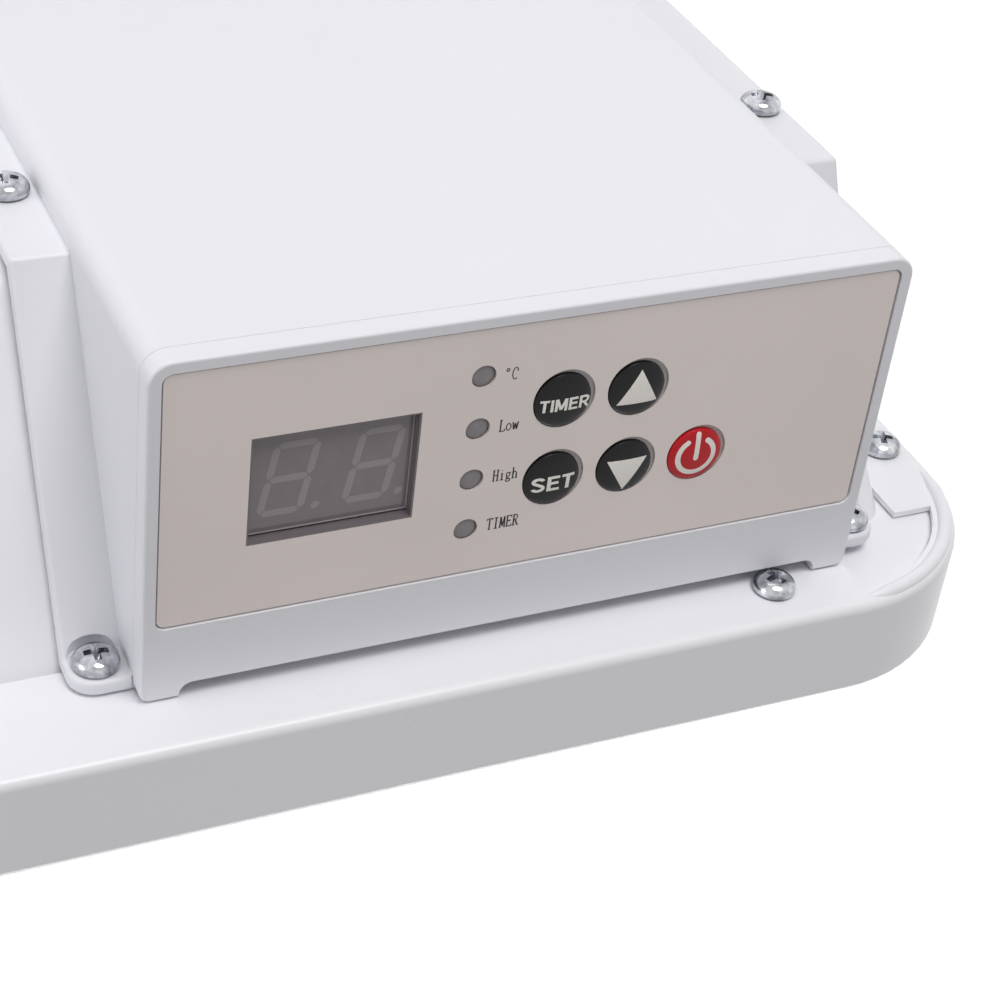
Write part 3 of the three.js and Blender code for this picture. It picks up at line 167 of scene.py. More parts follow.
class HeaterPanel(bpy.types.PropertyGroup):
    margin_side: length("Side margin", 1.9, "From the bezel's side to the label recess")
    radius: length("Label radius", 1.6, "Radius of the label's corners")
    cap_radius: length("Cap radius", 4.42, "Radius of a button's cap")
    cap_dome: length("Cap dome", 0.6, "Height of a cap's crown")
    hole_radius: length("Hole radius", 4.84, "Radius of the holes round the caps")
    hole_shift: length("Hole shift", 0.24, "How far the holes sit off the caps, right and up")
    lamp_radius: length("Lamp radius", 1.74, "Radius of a lamp's lens")
    lamp_gap: length("Lamp gap", 0.1, "Between a lamp and its hole")
    window_drop: length("Window drop", 0.35, "Reach of the window's opening below the display")
    digit_height: length("Digit height", 12.2, "Height of the two digits")
    digit_width: length("Digit width", 6.9, "Width of a digit")
    digit_pitch: length("Digit pitch", 12.45, "Distance between the digits")
    digit_stroke: length("Digit stroke", 1.08, "Thickness of a segment")
    digit_lean: degrees("Digit lean", 11, "Slant of the digits")


class HeaterFinish(bpy.types.PropertyGroup):
    steel: colour("White steel", (241, 241, 245), "Powder coat of the panel and cover")
    plastic: colour("White plastic", (233, 233, 238), "Control housing and bezel")
    film: colour("Label film", (221, 210, 206), "Metallised label")
    lens: colour("Display window", (129, 121, 123), "Smoked window over the digits")
    segment: colour("Unlit segment", (152, 144, 146), "Segments seen through the window")
    # Window rim: its pale colour is painted as the highlight along the display window's edge.
    rim: colour("Window rim", (186, 180, 181), "Bright edge of the display's window")
    # Window liner: its smoked colour is painted shade on the sides of the window's opening.
    liner: colour("Window liner", (112, 106, 109), "Smoked sides of the window's opening")
    seal: colour("Button seal", (206, 200, 199), "Pale membrane round the caps")
    lamp: colour("Lamp", (136, 131, 134), "Unlit indicator lamps")
    black: colour("Black cap", (20, 20, 23), "Caps of four buttons")
    red: colour("Red cap", (196, 24, 36), "Cap of the power button")
    ink: colour("Ink", (46, 42, 46), "Small legends on the label")
    print_white: colour("Pale print", (250, 243, 236), "Marks on the caps")
    zinc: colour("Zinc", (224, 226, 232), "Plated screws")


class HeaterStudio(bpy.types.PropertyGroup):
    lens: amount("Lens", 85.178, "Focal length on a 36 mm sensor", "CAMERA")
    sky: amount("Surround", 0.3, "Strength of the even light from all sides")
    key: amount("Key", 14, "Watts of the soft light behind the heater", "POWER")
    side: amount("Side", 9, "Watts of the soft light on the left", "POWER")
    front: amount("Front", 17, "Watts of the soft light before the heater", "POWER")
    floor: colour("Floor", (236, 236, 238), "Colour of the studio floor")


# ------------------------ places taken from the frame


SHELL_LOW, SHELL_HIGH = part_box("front_shell")
BEZEL_LOW, BEZEL_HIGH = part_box("front_bezel")
HOUSING_LOW, HOUSING_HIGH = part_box("control_housing")
LABEL_LOW, LABEL_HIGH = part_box("fascia_label")
WINDOW_LOW, WINDOW_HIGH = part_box("display_window")

HALF_WIDTH = SHELL_HIGH.x
HALF_HEIGHT = SHELL_HIGH.z
FRONT_Y = SHELL_LOW.y
FLANGE_Y = SHELL_HIGH.y
HUMP_HEIGHT = -FLANGE_Y
FACE_Z = BEZEL_HIGH.z
BOX_END_Z = HOUSING_LOW.z
SEAT_GAP = 0.3 * MM
BEYOND = 10 * MM  # how far a cutting body reaches past what it cuts
THROUGH_FLAT = -2 * MM, MM  # span of a hole through the cover's flat
SCREW_HOLE = 1.9 * MM  # radius
HEAD_HEIGHT = 2.3 * MM  # of a screw
FACE_WALL = 2.3 * MM  # of the bezel behind the label


def middle(node):
    low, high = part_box(node)
    return (low + high) / 2


def nodes_named(start):
    return sorted(name for name in frame["nodes"] if name.startswith(start))


COVER_SCREWS = nodes_named("cover_screw_")
HOUSING_SCREWS = nodes_named("housing_screw_")
LAMPS = nodes_named("indicator_lamp_")
BUTTONS = nodes_named("button_")


# ------------------------ solids


PLACE = {
    "X": lambda a, b, t: (t, a, b),
    "Y": lambda a, b, t: (a, t, b),
    "Z": lambda a, b, t: (a, b, t),
}


def add_object(name, data):
    made = bpy.data.objects.new(name, data)
    bpy.context.scene.collection.objects.link(made)
    return made


def modify(body, name, kind, **settings):
    modifier = body.modifiers.new(name, kind)
    for key, value in settings.items():
        setattr(modifier, key, value)
    return modifier


def solid(name, vertices, faces):
    """An object with one closed mesh whose faces point outwards."""
    mesh = bpy.data.meshes.new(name)
    mesh.from_pydata([tuple(v) for v in vertices], [], [tuple(f) for f in faces])
    shape = bmesh.new()
    shape.from_mesh(mesh)
    bmesh.ops.recalc_face_normals(shape, faces=shape.faces)
    shape.to_mesh(mesh)
    shape.free()
    return add_object(name, mesh)


def loft(name, rings):
    """Skin over rings of equally many points, with both ends closed."""
    size = len(rings[0])
    vertices = [point for ring in rings for point in ring]
    last = len(vertices) - size
    faces = [range(size), range(last, last + size)]
    for start in range(0, last, size):
        for step in range(size):
            a, b = start + step, start + (step + 1) % size
            faces.append((a, b, b + size, a + size))
    return solid(name, vertices, faces)


def prism(name, outline, axis, start, end):
    place = PLACE[axis]
    return loft(name, [[place(a, b, t) for a, b in outline] for t in (start, end)])


def block(name, low, high):
    outline = [(low[0], low[1]), (high[0], low[1]), (high[0], high[1]), (low[0], high[1])]
    return prism(name, outline, "Z", low[2], high[2])


def circle(a, b, radius, steps=32):
    turns = [math.tau * step / steps for step in range(steps)]
    return [(a + radius * math.cos(turn), b + radius * math.sin(turn)) for turn in turns]


def quarter(steps, first=0):
    """Cosine and sine of each step of a quarter turn."""
    turns = [math.pi / 2 * step / steps for step in range(first, steps + 1)]
    return [(math.cos(turn), math.sin(turn)) for turn in turns]


def rounded(a0, b0, a1, b1, radius, lower=None, steps=8):
    """Rectangle with rounded corners; the lower two can have a radius of their own."""
    lower = radius if lower is None else lower
    corners = [
        (a1 - lower, b0 + lower, lower, -90),
        (a1 - radius, b1 - radius, radius, 0),
        (a0 + radius, b1 - radius, radius, 90),
        (a0 + lower, b0 + lower, lower, 180),
    ]
    points = []
    for a, b, r, start in corners:
        for step in range(steps + 1):
            turn = math.radians(start + 90 * step / steps)
            points.append((a + r * math.cos(turn), b + r * math.sin(turn)))
    return points


def centred(half_a, half_b, radius, steps):
    return rounded(-half_a, -half_b, half_a, half_b, radius, steps=steps)


def lathe(name, profile, steps=32):
    """A profile of (radius, height) turned about Z; it starts and ends on the axis."""
    vertices = [(0, 0, profile[0][1])]
    rings = []
    for radius, height in profile[1:-1]:
        rings.append(len(vertices))
        vertices += [(a, b, height) for a, b in circle(0, 0, radius, steps)]
    top = len(vertices)
    vertices.append((0, 0, profile[-1][1]))
    faces = []
    for step in range(steps):
        after = (step + 1) % steps
        faces.append((0, rings[0] + after, rings[0] + step))
        faces.append((top, rings[-1] + step, rings[-1] + after))
        for low, high in zip(rings, rings[1:]):
            faces.append((low + step, low + after, high + after, high + step))
    return solid(name, vertices, faces)


def bake(body):
    """Puts what the modifiers make into the object's own mesh."""
    bpy.context.view_layer.update()
    graph = bpy.context.evaluated_depsgraph_get()
    mesh = bpy.data.meshes.new_from_object(body.evaluated_get(graph))
    body.modifiers.clear()
    old = body.data
    body.data = mesh
    bpy.data.meshes.remove(old)
    return body


def boolean(body, tools, operation):
    for tool in tools:
        modify(body, operation, "BOOLEAN", solver="MANIFOLD", operation=operation, object=tool)
    bake(body)
    for tool in tools:
        bpy.data.objects.remove(tool)
    return body


def cut(body, *tools):
    return boolean(body, tools, "DIFFERENCE")


def join(body, *tools):
    return boolean(body, tools, "UNION")


def common(body, *tools):
    return boolean(body, tools, "INTERSECT")


def move(body, matrix):
    body.data.transform(matrix)
    return body


def shift(body, x, y):
    return move(body, Matrix.Translation((x, y, 0)))


def smooth(body, angle=30):
    """Rounds the shading of soft edges and keeps flat faces flat."""
    body.data.shade_smooth()
    body.data.set_sharp_from_angle(angle=math.radians(angle))
    modify(body, "Weighted normals", "WEIGHTED_NORMAL", keep_sharp=True)
    return bake(body)


def soften(body, width, angle=40):
    modify(body, "Soft edges", "BEVEL", width=width, segments=3, limit_method="ANGLE",
           angle_limit=math.radians(angle))
    return bake(body)


def gather(name, bodies):
    """Several bodies as the islands of one mesh."""
    shape = bmesh.new()
    for body in bodies:
        shape.from_mesh(body.data)
    mesh = bpy.data.meshes.new(name)
    shape.to_mesh(mesh)
    shape.free()
    for body in bodies:
        bpy.data.objects.remove(body)
    return add_object(name, mesh)


def finish_piece(piece, body, slot, nodes=()):
    """Gives a made piece its finish and its body, and hides the CAD nodes that it stands for."""
    piece.data.materials.clear()
    piece.data.materials.append(FINISHES[slot])
    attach(piece, body)
    slot in SLOTS
    if nodes:
        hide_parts(*nodes)
    return piece


# ------------------------ node trees for what repeats


def feed(tree, socket, value):
    """Links a socket to a node's output, or gives it a plain value."""
    if isinstance(value, bpy.types.NodeSocket):
        tree.links.new(value, socket)
    elif socket.type == "RGBA" and len(value) == 3:
        socket.default_value = (*value, 1)
    else:
        socket.default_value = value


def add_node(tree, kind, inputs=None, output=0, **settings):
    """Adds a node, sets and feeds it, and returns one of its outputs."""
    node = tree.nodes.new(kind)
    for key, value in settings.items():
        setattr(node, key, value)
    for key, value in (inputs or {}).items():
        feed(tree, node.inputs[key], value)
    return node.outputs[output]


def start_tree(name, **inputs):
    """A tree with named inputs, each with its kind and default, and what they give."""
    tree = bpy.data.node_groups.new(name, "GeometryNodeTree")
    kinds = {
        "Geometry": ("Geometry", None), "Piece": ("Object", None), **inputs,
        "Material": ("Material", None)}
    for key, (kind, default) in kinds.items():
        socket = tree.interface.new_socket(
            name=key.replace("_", " "), in_out="INPUT", socket_type="NodeSocket" + kind)
        if default is not None:
            socket.default_value = default
    tree.interface.new_socket(
        name="Geometry", in_out="OUTPUT", socket_type="NodeSocketGeometry")
    return tree, tree.nodes.new("NodeGroupInput").outputs


def place_copies(tree, given, points, **further):
    """Sets the piece on the points, makes the copies real and paints them."""
    piece = add_node(tree, "GeometryNodeObjectInfo", {"Object": given["Piece"]}, "Geometry")
    copies = add_node(
        tree, "GeometryNodeInstanceOnPoints", {"Points": points, "Instance": piece, **further})
    real = add_node(tree, "GeometryNodeRealizeInstances", {0: copies})
    painted = add_node(
        tree, "GeometryNodeSetMaterial", {"Geometry": real, "Material": given["Material"]})
    tree.links.new(painted, tree.nodes.new("NodeGroupOutput").inputs[0])
    return tree


def grid_tree():
    """A piece repeated in columns and rows."""
    tree, given = start_tree(
        "Columns and rows", Columns=("Int", 1), Rows=("Int", 1),
        Column_step=("Vector", None), Row_step=("Vector", None))
    across, down = [
        add_node(tree, "GeometryNodeMeshLine", {"Count": given[number], "Offset": given[step]})
        for number, step in (("Columns", "Column step"), ("Rows", "Row step"))]
    spread = add_node(tree, "GeometryNodeInstanceOnPoints", {"Points": across, "Instance": down})
    points = add_node(tree, "GeometryNodeRealizeInstances", {0: spread})
    return place_copies(tree, given, points)


def seated_tree():
    """A piece on each point, turned at random about the Y axis."""
    tree, given = start_tree("Pieces on seats", Most_turn=("Float", 1.0), Seed=("Int", 7))
    chance = add_node(
        tree, "FunctionNodeRandomValue", {"Max": given["Most turn"], "Seed": given["Seed"]},
        "Value", data_type="FLOAT")
    turn = add_node(tree, "ShaderNodeCombineXYZ", {"Y": chance})
    return place_copies(tree, given, given["Geometry"], Rotation=turn)


def run_tree(name, tree, piece, settings, points=((0, 0, 0),)):
    """The mesh that a tree makes of a piece, as a plain object; the piece itself goes."""
    settings["Piece"] = piece
    mesh = bpy.data.meshes.new(name)
    mesh.from_pydata([tuple(p) for p in points], [], [])
    body = add_object(name, mesh)
    modifier = modify(body, tree.name, "NODES", node_group=tree)
    for item in tree.interface.items_tree:
        if item.in_out == "INPUT" and item.name in settings:
            modifier[item.identifier] = settings[item.name]
    bake(body)
    bpy.data.node_groups.remove(tree)
    bpy.data.objects.remove(piece)
    return body


def repeated(name, piece, columns, rows, column_step, row_step, material=None):
    """Copies of a piece in columns and rows."""
    return run_tree(name, grid_tree(), piece, {
        "Columns": columns, "Rows": rows, "Column step": column_step, "Row step": row_step,
        "Material": material})


# ------------------------ finishes


class Shade:
    """A socket of a material, with arithmetic written as Python expressions."""

    def __init__(self, finish, socket):
        self.finish = finish
        self.socket = socket

    def math(self, operation, *values):
        return self.finish.node("ShaderNodeMath", dict(enumerate(values)), operation=operation)

    def __add__(self, other):
        return self.math("ADD", self, other)

    def __sub__(self, other):
        return self.math("SUBTRACT", self, other)

    def __rsub__(self, other):
        return self.math("SUBTRACT", other, self)

    def __mul__(self, other):
        return self.math("MULTIPLY", self, other)

    def __truediv__(self, other):
        return self.math("DIVIDE", self, other)

    def __pow__(self, other):
        return self.math("POWER", self, other)

    def above(self, edge):
        return self.math("GREATER_THAN", self, edge)

    __radd__ = __add__
    __rmul__ = __mul__


class Finish:
    """A material under construction; patterns read Object coordinates."""

    def __init__(self, name, **fixed):
        self.material = bpy.data.materials.new(name)
        self.material.use_nodes = True
        self.tree = self.material.node_tree
        self.shader = self.tree.nodes["Principled BSDF"]
        self.place = self.node("ShaderNodeTexCoord", output="Object")
        self.set(**fixed)

    def node(self, kind, values=None, output=0, **settings):
        inputs = {key: getattr(value, "socket", value) for key, value in (values or {}).items()}
        return Shade(self, add_node(self.tree, kind, inputs, output, **settings))

    def stretched(self, scale):
        return self.node("ShaderNodeMapping", {"Vector": self.place, "Scale": scale})

    def noise(self, per_metre, detail, roughness=0.5, vector=None):
        return self.node("ShaderNodeTexNoise", {
            "Vector": vector or self.place, "Scale": per_metre, "Detail": detail,
            "Roughness": roughness})

    def cells(self, per_metre, output="Distance"):
        return self.node(
            "ShaderNodeTexVoronoi", {"Vector": self.place, "Scale": per_metre}, output)

    def blend(self, factor, first, second):
        return self.node(
            "ShaderNodeMix", {0: factor, 6: first, 7: second}, 2, data_type="RGBA")

    def between(self, factor, low, high):
        return factor * (high - low) + low

    def bump(self, height, distance, strength):
        self.set(Normal=self.node(
            "ShaderNodeBump", {"Height": height, "Distance": distance, "Strength": strength}))

    def set(self, **values):
        for socket, value in values.items():
            feed(self.tree, self.shader.inputs[socket.replace("_", " ")],
                 getattr(value, "socket", value))


def shade_of(tint, factor):
    return tuple(min(1.0, value * factor) for value in tint)


def powder_coat(tint):
    """Semi-gloss white with a fine orange peel."""
    coat = Finish("white powder coat", Specular_IOR_Level=0.36, Coat_Roughness=0.12)
    cloud = coat.noise(9, 4)
    peel = coat.noise(420, 1)
    coat.set(Base_Color=coat.blend(cloud, shade_of(tint, 0.975), shade_of(tint, 1.02)))
    coat.set(Roughness=coat.between(coat.noise(40, 3), 0.24, 0.34))
    coat.set(Coat_Weight=coat.between(cloud, 0.06, 0.16))
    coat.bump(peel, 0.00003, 0.12)
    return coat.material


def moulded_plastic(tint):
    """White ABS, satin, with faint flow and a fine spark texture."""
    plastic = Finish("white moulded plastic", Specular_IOR_Level=0.5)
    flow = plastic.noise(14, 3, 0.6, plastic.stretched((1, 1, 0.35)))
    grain = plastic.noise(5200, 2)
    specks = plastic.cells(260).above(0.035)
    clean = plastic.blend(flow, shade_of(tint, 0.975), shade_of(tint, 1.015))
    plastic.set(Base_Color=plastic.blend(specks, shade_of(tint, 0.93), clean))
    plastic.set(Roughness=plastic.between(grain, 0.34, 0.46))
    plastic.bump(grain, 0.000008, 0.5)
    return plastic.material


def label_film(tint):
    """Metallised polyester film, brushed along its length."""
    film = Finish("metallised label film", Specular_IOR_Level=0.5, Coat_Roughness=0.2)
    brush = film.noise(700, 2, 0.6, film.stretched((0.06, 1, 1)))
    cloud = film.noise(16, 3)
    dust = film.cells(320).above(0.03)
    clean = film.blend(cloud, shade_of(tint, 0.94), shade_of(tint, 1.05))
    film.set(Base_Color=film.blend(dust, shade_of(tint, 0.8), clean))
    film.set(Metallic=film.between(cloud, 0.15, 0.23))
    film.set(Roughness=film.between(brush, 0.36, 0.46))
    film.set(Coat_Weight=film.between(cloud, 0.15, 0.3))
    film.bump(brush * 0.5 + film.noise(60, 2), 0.00001, 0.4)
    return film.material


def gloss_plastic(name, tint, low, high, spread=0.9, shine=0.5):
    """Glossy moulded or cast plastic with light haze and fine scratches."""
    gloss = Finish(name, Specular_IOR_Level=shine)
    haze = gloss.noise(500, 3)
    gloss.set(Base_Color=gloss.blend(haze, shade_of(tint, spread), shade_of(tint, 2 - spread)))
    gloss.set(Roughness=gloss.between(haze, low, high))
    gloss.bump(gloss.noise(2200, 2), 0.000005, 0.4)
    return gloss.material


def grained(name, tint, shine, pattern, shades, rough, relief):
    """Material whose colour, roughness and relief follow one noise."""
    finish = Finish(name, Specular_IOR_Level=shine)
    body = finish.noise(*pattern)
    finish.set(Base_Color=finish.blend(body, *[shade_of(tint, factor) for factor in shades]))
    finish.set(Roughness=finish.between(body, *rough))
    finish.bump(body, relief, 0.5)
    return finish.material


def print_ink(name, tint):
    """Screen-printed ink, matt, with a slightly uneven body."""
    return grained(name, tint, 0.4, (2600, 2), (0.92, 1.08), (0.4, 0.55), 0.000004)


def cast_material(name, tint, low, high, grain):
    """Dull moulded, fired or rubbery material."""
    return grained(name, tint, 0.4, (grain, 4, 0.6), (0.82, 1.12), (low, high), 0.00002)


def unlit_lamp(tint):
    """Clouded light guide over an unlit lamp."""
    return grained("unlit lamp", tint, 0.5, (900, 3), (0.8, 1.2), (0.3, 0.45), 0.00002)


def plated_metal(name, tint, low, high, grain, stretch=(1, 1, 1), dull=0.86):
    """Bare or plated metal with a drawn or cast grain; a low dull also paints dark reflections
    into its colour.
    """
    metal = Finish(name)
    drawn = metal.noise(grain, 3, 0.6, metal.stretched(stretch))
    spread = (drawn - 0.3) * 2.5
    metal.set(Base_Color=metal.blend(spread, shade_of(tint, dull), shade_of(tint, 1.04)))
    metal.set(Metallic=metal.between(drawn, 0.93, 1.0))
    metal.set(Roughness=metal.between(drawn, low, high))
    metal.bump(drawn, 0.00001, 0.35)
    return metal.material


def galvanised_metal(tint):
    """Hot-dipped sheet with its spangle."""
    sheet = Finish("galvanised sheet")
    spangle = sheet.cells(160, "Color")
    tone = sheet.node("ShaderNodeSeparateColor", {0: spangle})
    sheet.set(Base_Color=sheet.blend(tone, shade_of(tint, 0.8), shade_of(tint, 1.1)))
    sheet.set(Metallic=sheet.between(tone, 0.9, 1.0))
    sheet.set(Roughness=sheet.between(tone, 0.35, 0.55))
    sheet.bump(sheet.noise(900, 2), 0.00001, 0.4)
    return sheet.material


def circuit_board(tint):
    """Green solder mask over copper tracks."""
    board = Finish("printed circuit board", Specular_IOR_Level=0.5)
    tracks = board.node("ShaderNodeTexBrick", {
        "Vector": board.place, "Scale": 260.0, "Mortar Size": 0.06, "Color1": (0, 0, 0),
        "Color2": (0, 0, 0), "Mortar": (1, 1, 1),
    }, "Fac", offset=0.5, squash=0.6, squash_frequency=3)
    board.set(Base_Color=board.blend(tracks, tint, shade_of(tint, 1.9)))
    board.set(Roughness=board.between(board.noise(600, 2), 0.28, 0.42))
    board.bump(tracks, 0.00002, 0.5)
    return board.material


FINISHES = {}
SLOTS = [entry["slot"] for entry in frame["record"]["materials"]]


def make_finishes(tints):
    FINISHES.update({
        "white_steel": powder_coat(tints.steel),
        "white_abs": moulded_plastic(tints.plastic),
        "silver_film": label_film(tints.film),
        "smoked_lens": gloss_plastic("smoked window", tints.lens, 0.08, 0.18),
        "display_grey": cast_material("display case", linear(70, 66, 68), 0.45, 0.6, 900),
        "segment": gloss_plastic("unlit segment", tints.segment, 0.12, 0.22, 0.96),
        # Painted highlight along the display window's edge.
        "rim": gloss_plastic("window rim", tints.rim, 0.12, 0.22, 0.94),
        # Painted shade on the sides of the window's opening.
        "liner": gloss_plastic("window liner", tints.liner, 0.15, 0.3, 0.94),
        "seal": cast_material("button seal", tints.seal, 0.4, 0.6, 900),
        "lamp_grey": unlit_lamp(tints.lamp),
        "black_cap": gloss_plastic("black cap", tints.black, 0.2, 0.34, shine=0.22),
        "red_cap": gloss_plastic("red cap", tints.red, 0.25, 0.38, shine=0.25),
        "ink": print_ink("dark ink", tints.ink),
        "print_white": print_ink("pale print", tints.print_white),
        "green_board": circuit_board(linear(29, 90, 52)),
        "black_part": cast_material("black component", linear(34, 34, 37), 0.4, 0.6, 1500),
        "blue_relay": gloss_plastic("blue relay case", linear(42, 87, 165), 0.3, 0.45),
        # The zinc's colour falls to 0.3 of its tint in blotches: painted dark reflections on the
        # screw heads, over a fine grain.
        "zinc": plated_metal("zinc plate", tints.zinc, 0.08, 0.18, 420, dull=0.3),
        "aluminium": plated_metal(
            "extruded aluminium", linear(198, 200, 202), 0.3, 0.48, 900, (0.02, 1, 1)),
        "galvanised": galvanised_metal(linear(169, 173, 176)),
        "ceramic": cast_material("fired ceramic", linear(230, 224, 210), 0.5, 0.7, 700),
        "rubber": cast_material("black rubber", linear(32, 32, 34), 0.7, 0.9, 1200),
        "cream_part": cast_material("cream terminal", linear(217, 210, 189), 0.4, 0.55, 1200),
    })


# ------------------------ steel pan


def pan_solid(name, inset, sizes):
    """The pan's outside, or with an inset its inside."""
    bend = sizes.bend_radius - inset
    half_x, half_z = HALF_WIDTH - inset, HALF_HEIGHT - inset
    radius = sizes.corner_radius - inset
    y0, y1 = FRONT_Y + inset, FLANGE_Y - inset
    rings = []
    for rear in (False, True):
        for across, up in quarter(6):
            off = bend * (1 - (across if rear else up))
            y = y1 - bend * (1 - up) if rear else y0 + bend * (1 - across)
            outline = centred(half_x - off, half_z - off, radius - off, 16)
            rings.append([(a, y, b) for a, b in outline])
    return loft(name, rings)


def pan_opening(sizes):
    """What is open at the pan's back, with the four corners inside their lips."""
    lip = sizes.corner_lip
    y0, y1 = FLANGE_Y - 2 * sizes.sheet, FLANGE_Y + sizes.sheet
    outline = centred(HALF_WIDTH - lip, HALF_HEIGHT - lip, sizes.corner_radius - lip, 16)
    within = prism("opening", outline, "Y", y0, y1)
    reach_x = HALF_WIDTH - sizes.corner_notch
    inner_x, inner_z = HALF_WIDTH - sizes.side_flange, HALF_HEIGHT - sizes.top_flange
    strips = []
    for side in (-1, 1):
        z0, z1 = sorted((side * inner_z, side * HALF_HEIGHT))
        x0, x1 = sorted((side * inner_x, side * HALF_WIDTH))
        strips.append(block("strip", (-reach_x, y0 - MM, z0), (reach_x, y1 + MM, z1)))
        strips.append(block("strip", (x0, y0 - MM, -inner_z), (x1, y1 + MM, inner_z)))
    return cut(within, *strips)


BEAD_STEPS = 24
BEAD_TIP = 0.3  # of the bead's radius, at its two ends
BEAD_TAPER = 6


def corner_beads(sizes):
    """A raised bead round each corner, where the flanges stop."""
    beads = []
    centre_x, centre_z = HALF_WIDTH - sizes.corner_radius, HALF_HEIGHT - sizes.corner_radius
    reach = sizes.corner_radius - sizes.corner_lip / 2
    for side_x in (-1, 1):
        for side_z in (-1, 1):
            rings = []
            for step, (cosine, sine) in enumerate(quarter(BEAD_STEPS)):
                from_end = min(step, BEAD_STEPS - step) / BEAD_STEPS
                radius = sizes.bead_radius * min(1, BEAD_TIP + BEAD_TAPER * from_end)
                rings.append([
                    (side_x * (centre_x + (reach + a) * cosine),
                     FLANGE_Y - sizes.bead_sink + b,
                     side_z * (centre_z + (reach + a) * sine))
                    for a, b in circle(0, 0, radius, 16)])
            beads.append(loft("bead", rings))
    return beads


LOUVRE_END = 0.49  # radius of a louvre's ends, in its heights
BLADE_CURVE = 1.5
BLADE_STEPS = 6


def louvre_column_step(sizes):
    return sizes.louvre_length + sizes.louvre_bridge


def louvre_corner(sizes):
    """Lower left corner of the first louvre."""
    across = sizes.louvre_columns * louvre_column_step(sizes) - sizes.louvre_bridge
    return -across / 2, HALF_HEIGHT - sizes.louvre_margin - sizes.louvre_height


def louvre_grid(name, piece, sizes):
    steps = (louvre_column_step(sizes), 0, 0), (0, 0, -sizes.louvre_pitch)
    return repeated(
        name, piece, sizes.louvre_columns, sizes.louvre_rows, *steps, FINISHES["white_steel"])


def louvre_slots(sizes):
    x0, z0 = louvre_corner(sizes)
    outline = rounded(
        x0, z0, x0 + sizes.louvre_length, z0 + sizes.louvre_height,
        sizes.louvre_height * LOUVRE_END, steps=6)
    slot = prism("slot", outline, "Y", FRONT_Y - MM, FRONT_Y + sizes.sheet + MM)
    return louvre_grid("louvre slots", slot, sizes)


def louvre_blades(sizes):
    """Curved blades that lead the warm air up and forward."""
    x0, z0 = louvre_corner(sizes)
    thick = sizes.sheet
    rise = sizes.louvre_blade * math.cos(sizes.louvre_tilt)
    depth = sizes.louvre_blade * math.sin(sizes.louvre_tilt)
    upper, lower = [], []
    for step in range(BLADE_STEPS + 1):
        t = step / BLADE_STEPS
        y = FRONT_Y + depth * t
        z = z0 + rise * t ** BLADE_CURVE
        slope = math.atan2(rise * BLADE_CURVE * t ** (BLADE_CURVE - 1), depth)
        upper.append((y, z))
        lower.append((y + thick * math.sin(slope), z - thick * math.cos(slope)))
    inset = sizes.louvre_height * LOUVRE_END
    blade = prism("blade", upper + lower[::-1], "X", x0 + inset, x0 + sizes.louvre_length - inset)
    return louvre_grid("louvre_blades", blade, sizes)


def drills(nodes, depth):
    """Rods through the seats of screws."""
    rods = []
    for node in nodes:
        centre = middle(node)
        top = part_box(node)[1].y
        outline = circle(centre.x, centre.z, SCREW_HOLE, 20)
        rods.append(prism("drill", outline, "Y", top - depth, top))
    return rods


class HEATER_OT_pan(bpy.types.Operator):
    """Make the folded front pan and its louvres"""

    bl_idname = "heater.pan"
    bl_label = "Front Pan"

    def execute(self, context):
        sizes = context.scene.heater_pan
        pan = cut(
            pan_solid("front_pan", 0, sizes),
            pan_solid("hollow", sizes.sheet, sizes),
            pan_opening(sizes),
            louvre_slots(sizes),
            *drills(COVER_SCREWS, 6 * MM))
        join(pan, *corner_beads(sizes))
        finish_piece(smooth(pan), "root", "white_steel", ["front_shell"])
        blades = louvre_blades(sizes)
        finish_piece(smooth(blades), "root", "white_steel")
        return {"FINISHED"}


# ------------------------ back cover


def cover_foot(sizes):
    """Half width and half height of the raised middle's foot."""
    pan = bpy.context.scene.heater_pan
    return (
        HALF_WIDTH - pan.side_flange - sizes.foot_gap,
        HALF_HEIGHT - pan.top_flange - sizes.foot_gap)


SHOULDER_STEPS = 8


def hump(name, depth, start, sizes):
    """The cover's raised middle, moved inwards by depth, from a height above the flanges."""
    foot_x, foot_z = cover_foot(sizes)
    height = HUMP_HEIGHT - depth
    side = math.hypot(sizes.side_run, HUMP_HEIGHT) / HUMP_HEIGHT
    slope = math.hypot(sizes.top_run, HUMP_HEIGHT) / HUMP_HEIGHT

    def half_x(h):
        return foot_x - sizes.side_run * h / HUMP_HEIGHT - depth * side

    def half_z(h):
        return foot_z - sizes.top_run * h / HUMP_HEIGHT - depth * slope

    def ring(x, z, h):
        return [(a, FLANGE_Y + h, b) for a, b in centred(x, z, sizes.corner, 8)]

    low = height - sizes.shoulder
    rings = [ring(half_x(start), half_z(start), start)]
    for step in range(SHOULDER_STEPS + 1):
        t = step / SHOULDER_STEPS
        a, b, c = (1 - t) ** 2, 2 * t * (1 - t), t * t
        x = a * half_x(low) + b * half_x(height) + c * (half_x(height) - sizes.shoulder)
        z = a * half_z(low) + b * half_z(height) + c * (half_z(height) - sizes.shoulder)
        rings.append(ring(x, z, a * low + (b + c) * height))
    return loft(name, rings)


INLET_CLEAR = 20 * MM  # from the gland to the nearest inlet
INLET_DEPTH = 55 * MM  # from the heater's underside, through the slope


def inlet_slots(sizes):
    gland = middle("cable_gland")
    first = -(sizes.inlet_count - 1) / 2
    open_slots = sum(
        (index + first) * sizes.inlet_pitch < gland.x - INLET_CLEAR
        for index in range(sizes.inlet_count))
    x = first * sizes.inlet_pitch
    half = sizes.inlet_width / 2
    outline = rounded(
        x - half, FLANGE_Y + sizes.inlet_low, x + half, FLANGE_Y + sizes.inlet_high, half * 0.99)
    slot = prism("slot", outline, "Z", -HALF_HEIGHT, -HALF_HEIGHT + INLET_DEPTH)
    return repeated("inlet slots", slot, open_slots, 1, (sizes.inlet_pitch, 0, 0), (0, 0, 0))


